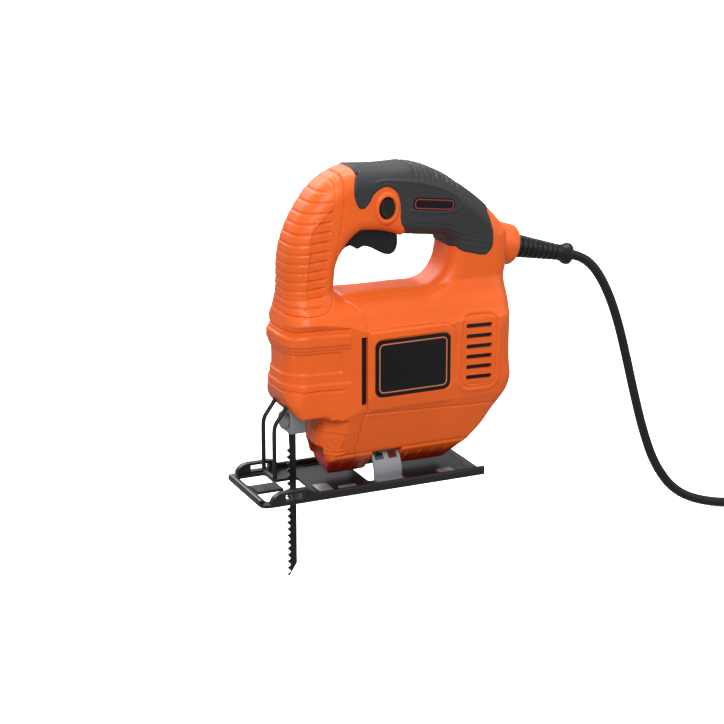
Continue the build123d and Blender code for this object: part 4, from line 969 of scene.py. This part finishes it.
def sole_fittings():
    """Tabs raised from the plate beside the housing, in bright zinc as a painted highlight of the plate's folds.
    """
    bm = bmesh.new()
    for x0, x1, y0, y1, top in ((-20.0, -9.0, -24.5, -19.0, 3.2), (46.0, 56.0, -24.0, -17.0, 3.2),
                                (-33.0, -24.0, -22.0, -10.0, 2.8)):
        block(bm, (x1 - x0, y1 - y0, top - 1.75), ((x0 + x1) / 2, (y0 + y1) / 2, (top + 1.75) / 2))
    finish_mesh(bm, "sole_tabs", ZINC, "sole", bevel=0.5)


def blade_guard():
    """Bent wire guard in front of the blade."""
    bm = bmesh.new()
    leg = [(-48.2, 60.0), (-48.2, 54.5), (-49.6, 51.6), (-52.6, 47.4), (-55.4, 43.2), (-56.3, 39.0),
           (-56.4, 30.0), (-56.4, 20.0), (-56.4, 13.4), (-56.2, 10.6)]
    near = [(x, -8.6, z) for x, z in leg] + [(-56.2, -7.9, 9.3), (-56.2, -6.0, 9.0)]
    wire(bm, smooth_path(near + [(x, -y, z) for x, y, z in near[::-1]], 5), 1.3)
    finish_mesh(bm, "guard_wire", SOLE, "housing", smooth=60, replaces=("blade_guard",))


def saw_blade():
    """Toothed blade: alternate teeth are set to either side, the back edge slants off to the tip."""
    x0, x1, tip, pitch, deep, count, set_over = -45.1, -39.2, -58.0, 4.2, 1.9, 19, 0.18
    first = tip + 5.4
    edge = [(x1, 33.5), (x1, tip + 8.0), (x0 + 0.7, tip), (x0 + 0.1, tip + 1.1)]
    teeth = []
    for k in range(count):
        z = first + k * pitch
        teeth += [(x0 + deep, z - pitch * 0.75), (x0 + deep + 0.25, z - pitch * 0.6), (x0 + 0.05, z - 0.25),
                  (x0, z)]
    outline = [(-43.7, 49.0), (-39.15, 49.0), *edge, *teeth, (x0 + deep, teeth[-1][1] + 1.2), (-43.7, 33.5)]
    bm = bmesh.new()
    prism(bm, outline, -0.5, 0.5)
    for v in bm.verts:
        if v.co.x < x0 + 0.3 and v.co.z < 30:
            v.co.y += set_over if round((v.co.z - first) / pitch) % 2 else -set_over
    bmesh.ops.triangulate(bm, faces=[f for f in bm.faces if len(f.verts) > 4])
    finish_mesh(bm, "blade_body", BLADE, "plunger", smooth=25, replaces=("saw_blade",))


def clamp_block():
    """Blade clamp with rounded edges and the knurled screw in front."""
    bm = bmesh.new()
    prism(bm, rounded_corners(rectangle(-45.0, -34.0, -6.0, 6.0), 1.4), 34.5, 50.0, "XY")
    finish_mesh(bm, "clamp_body", ZINC, "plunger", bevel=0.5, segments=3,
                replaces=("blade_clamp",))
    height, knurl = 42.5, 0.35
    bm = bmesh.new()
    lathe(bm, [(-4.5, 3.0), (-4.5, 4.9), (-4.1, 5.4), (-1.8, 5.4), (-1.4, 4.9), (-1.4, 2.4), (0.0, 2.4)],
          (-43.9, 0.0, height), (1, 0, 0), 96)
    for v in bm.verts:
        r = hypot(v.co.y, v.co.z - height)
        if r > 5.0 and round(atan2(v.co.z - height, v.co.y) * 48 / pi) % 4 in (0, 1):
            v.co.y *= 1.0 - knurl / r
            v.co.z -= (v.co.z - height) * knurl / r
    finish_mesh(bm, "clamp_knob", ZINC, "plunger", smooth=30, replaces=("clamp_screw",))


# ---------------------------------------------------------------- cord fittings
def cord_protector():
    """Tapered rubber sleeve with rings and a flared mouth."""
    profile = [(-58.0, 4.4), (-58.0, 6.9), (-53.0, 6.9), (-53.0, 5.8), (-43.0, 5.8), (-42.4, 7.4), (-40.0, 7.5)]
    for k in range(8):
        s = -38.5 + k * 3.7
        r = 7.1 - (s + 38.5) * 0.072
        profile += [(s, r), (s + 0.5, r - 0.75), (s + 1.3, r - 0.8), (s + 1.8, r - 0.05)]
    profile += [(-8.0, 4.9), (-5.6, 5.3), (-3.4, 6.5), (-2.0, 6.75), (-0.5, 6.6), (0.0, 6.0), (0.0, 3.05)]
    bm = bmesh.new()
    lathe(bm, profile, EXIT, EXIT_DIR, 48)
    finish_mesh(bm, "cord_sleeve", BLACK, "housing", smooth=40, replaces=("cord_protector",))


def coil_tie():
    """Strap with a square head round the coil."""
    bm = bmesh.new()
    flat_frame(bm, box_outline(COIL_X + COIL_R, FLOOR_Z + 9.6, 19.6, 18.8, 5.0), 0.8, -3.0, 3.0)
    block(bm, (5.0, 7.0, 2.4), (COIL_X + COIL_R, 0.0, FLOOR_Z + 19.2))
    finish_mesh(bm, "coil_tie", BLACK, "housing", bevel=0.25)


def cad_materials():
    """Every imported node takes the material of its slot."""
    by_slot = {"housing": ORANGE, "soft_grip": SOFT, "label": GLOSS, "black_plastic": BLACK,
               "rubber_black": RUBBER, "black_steel": SOLE, "zinc_steel": ZINC, "bearing_steel": STEEL,
               "blade_steel": BLADE, "laminated_steel": IRON, "copper": COPPER, "brass": BRASS,
               "carbon": CARBON, "yellow_plastic": YELLOW}
    for part in frame["record"]["subparts"]:
        for holder in frame["nodes"][part["node"]].material_slots:
            holder.material = by_slot[part["material_slot"]]


cad_materials()
lock_button()
trigger()
pivot_pin()
label_plate()
grip_badge()
sole_plate()
sole_fittings()
blade_guard()
saw_blade()
clamp_block()
cord_protector()
coil_tie()
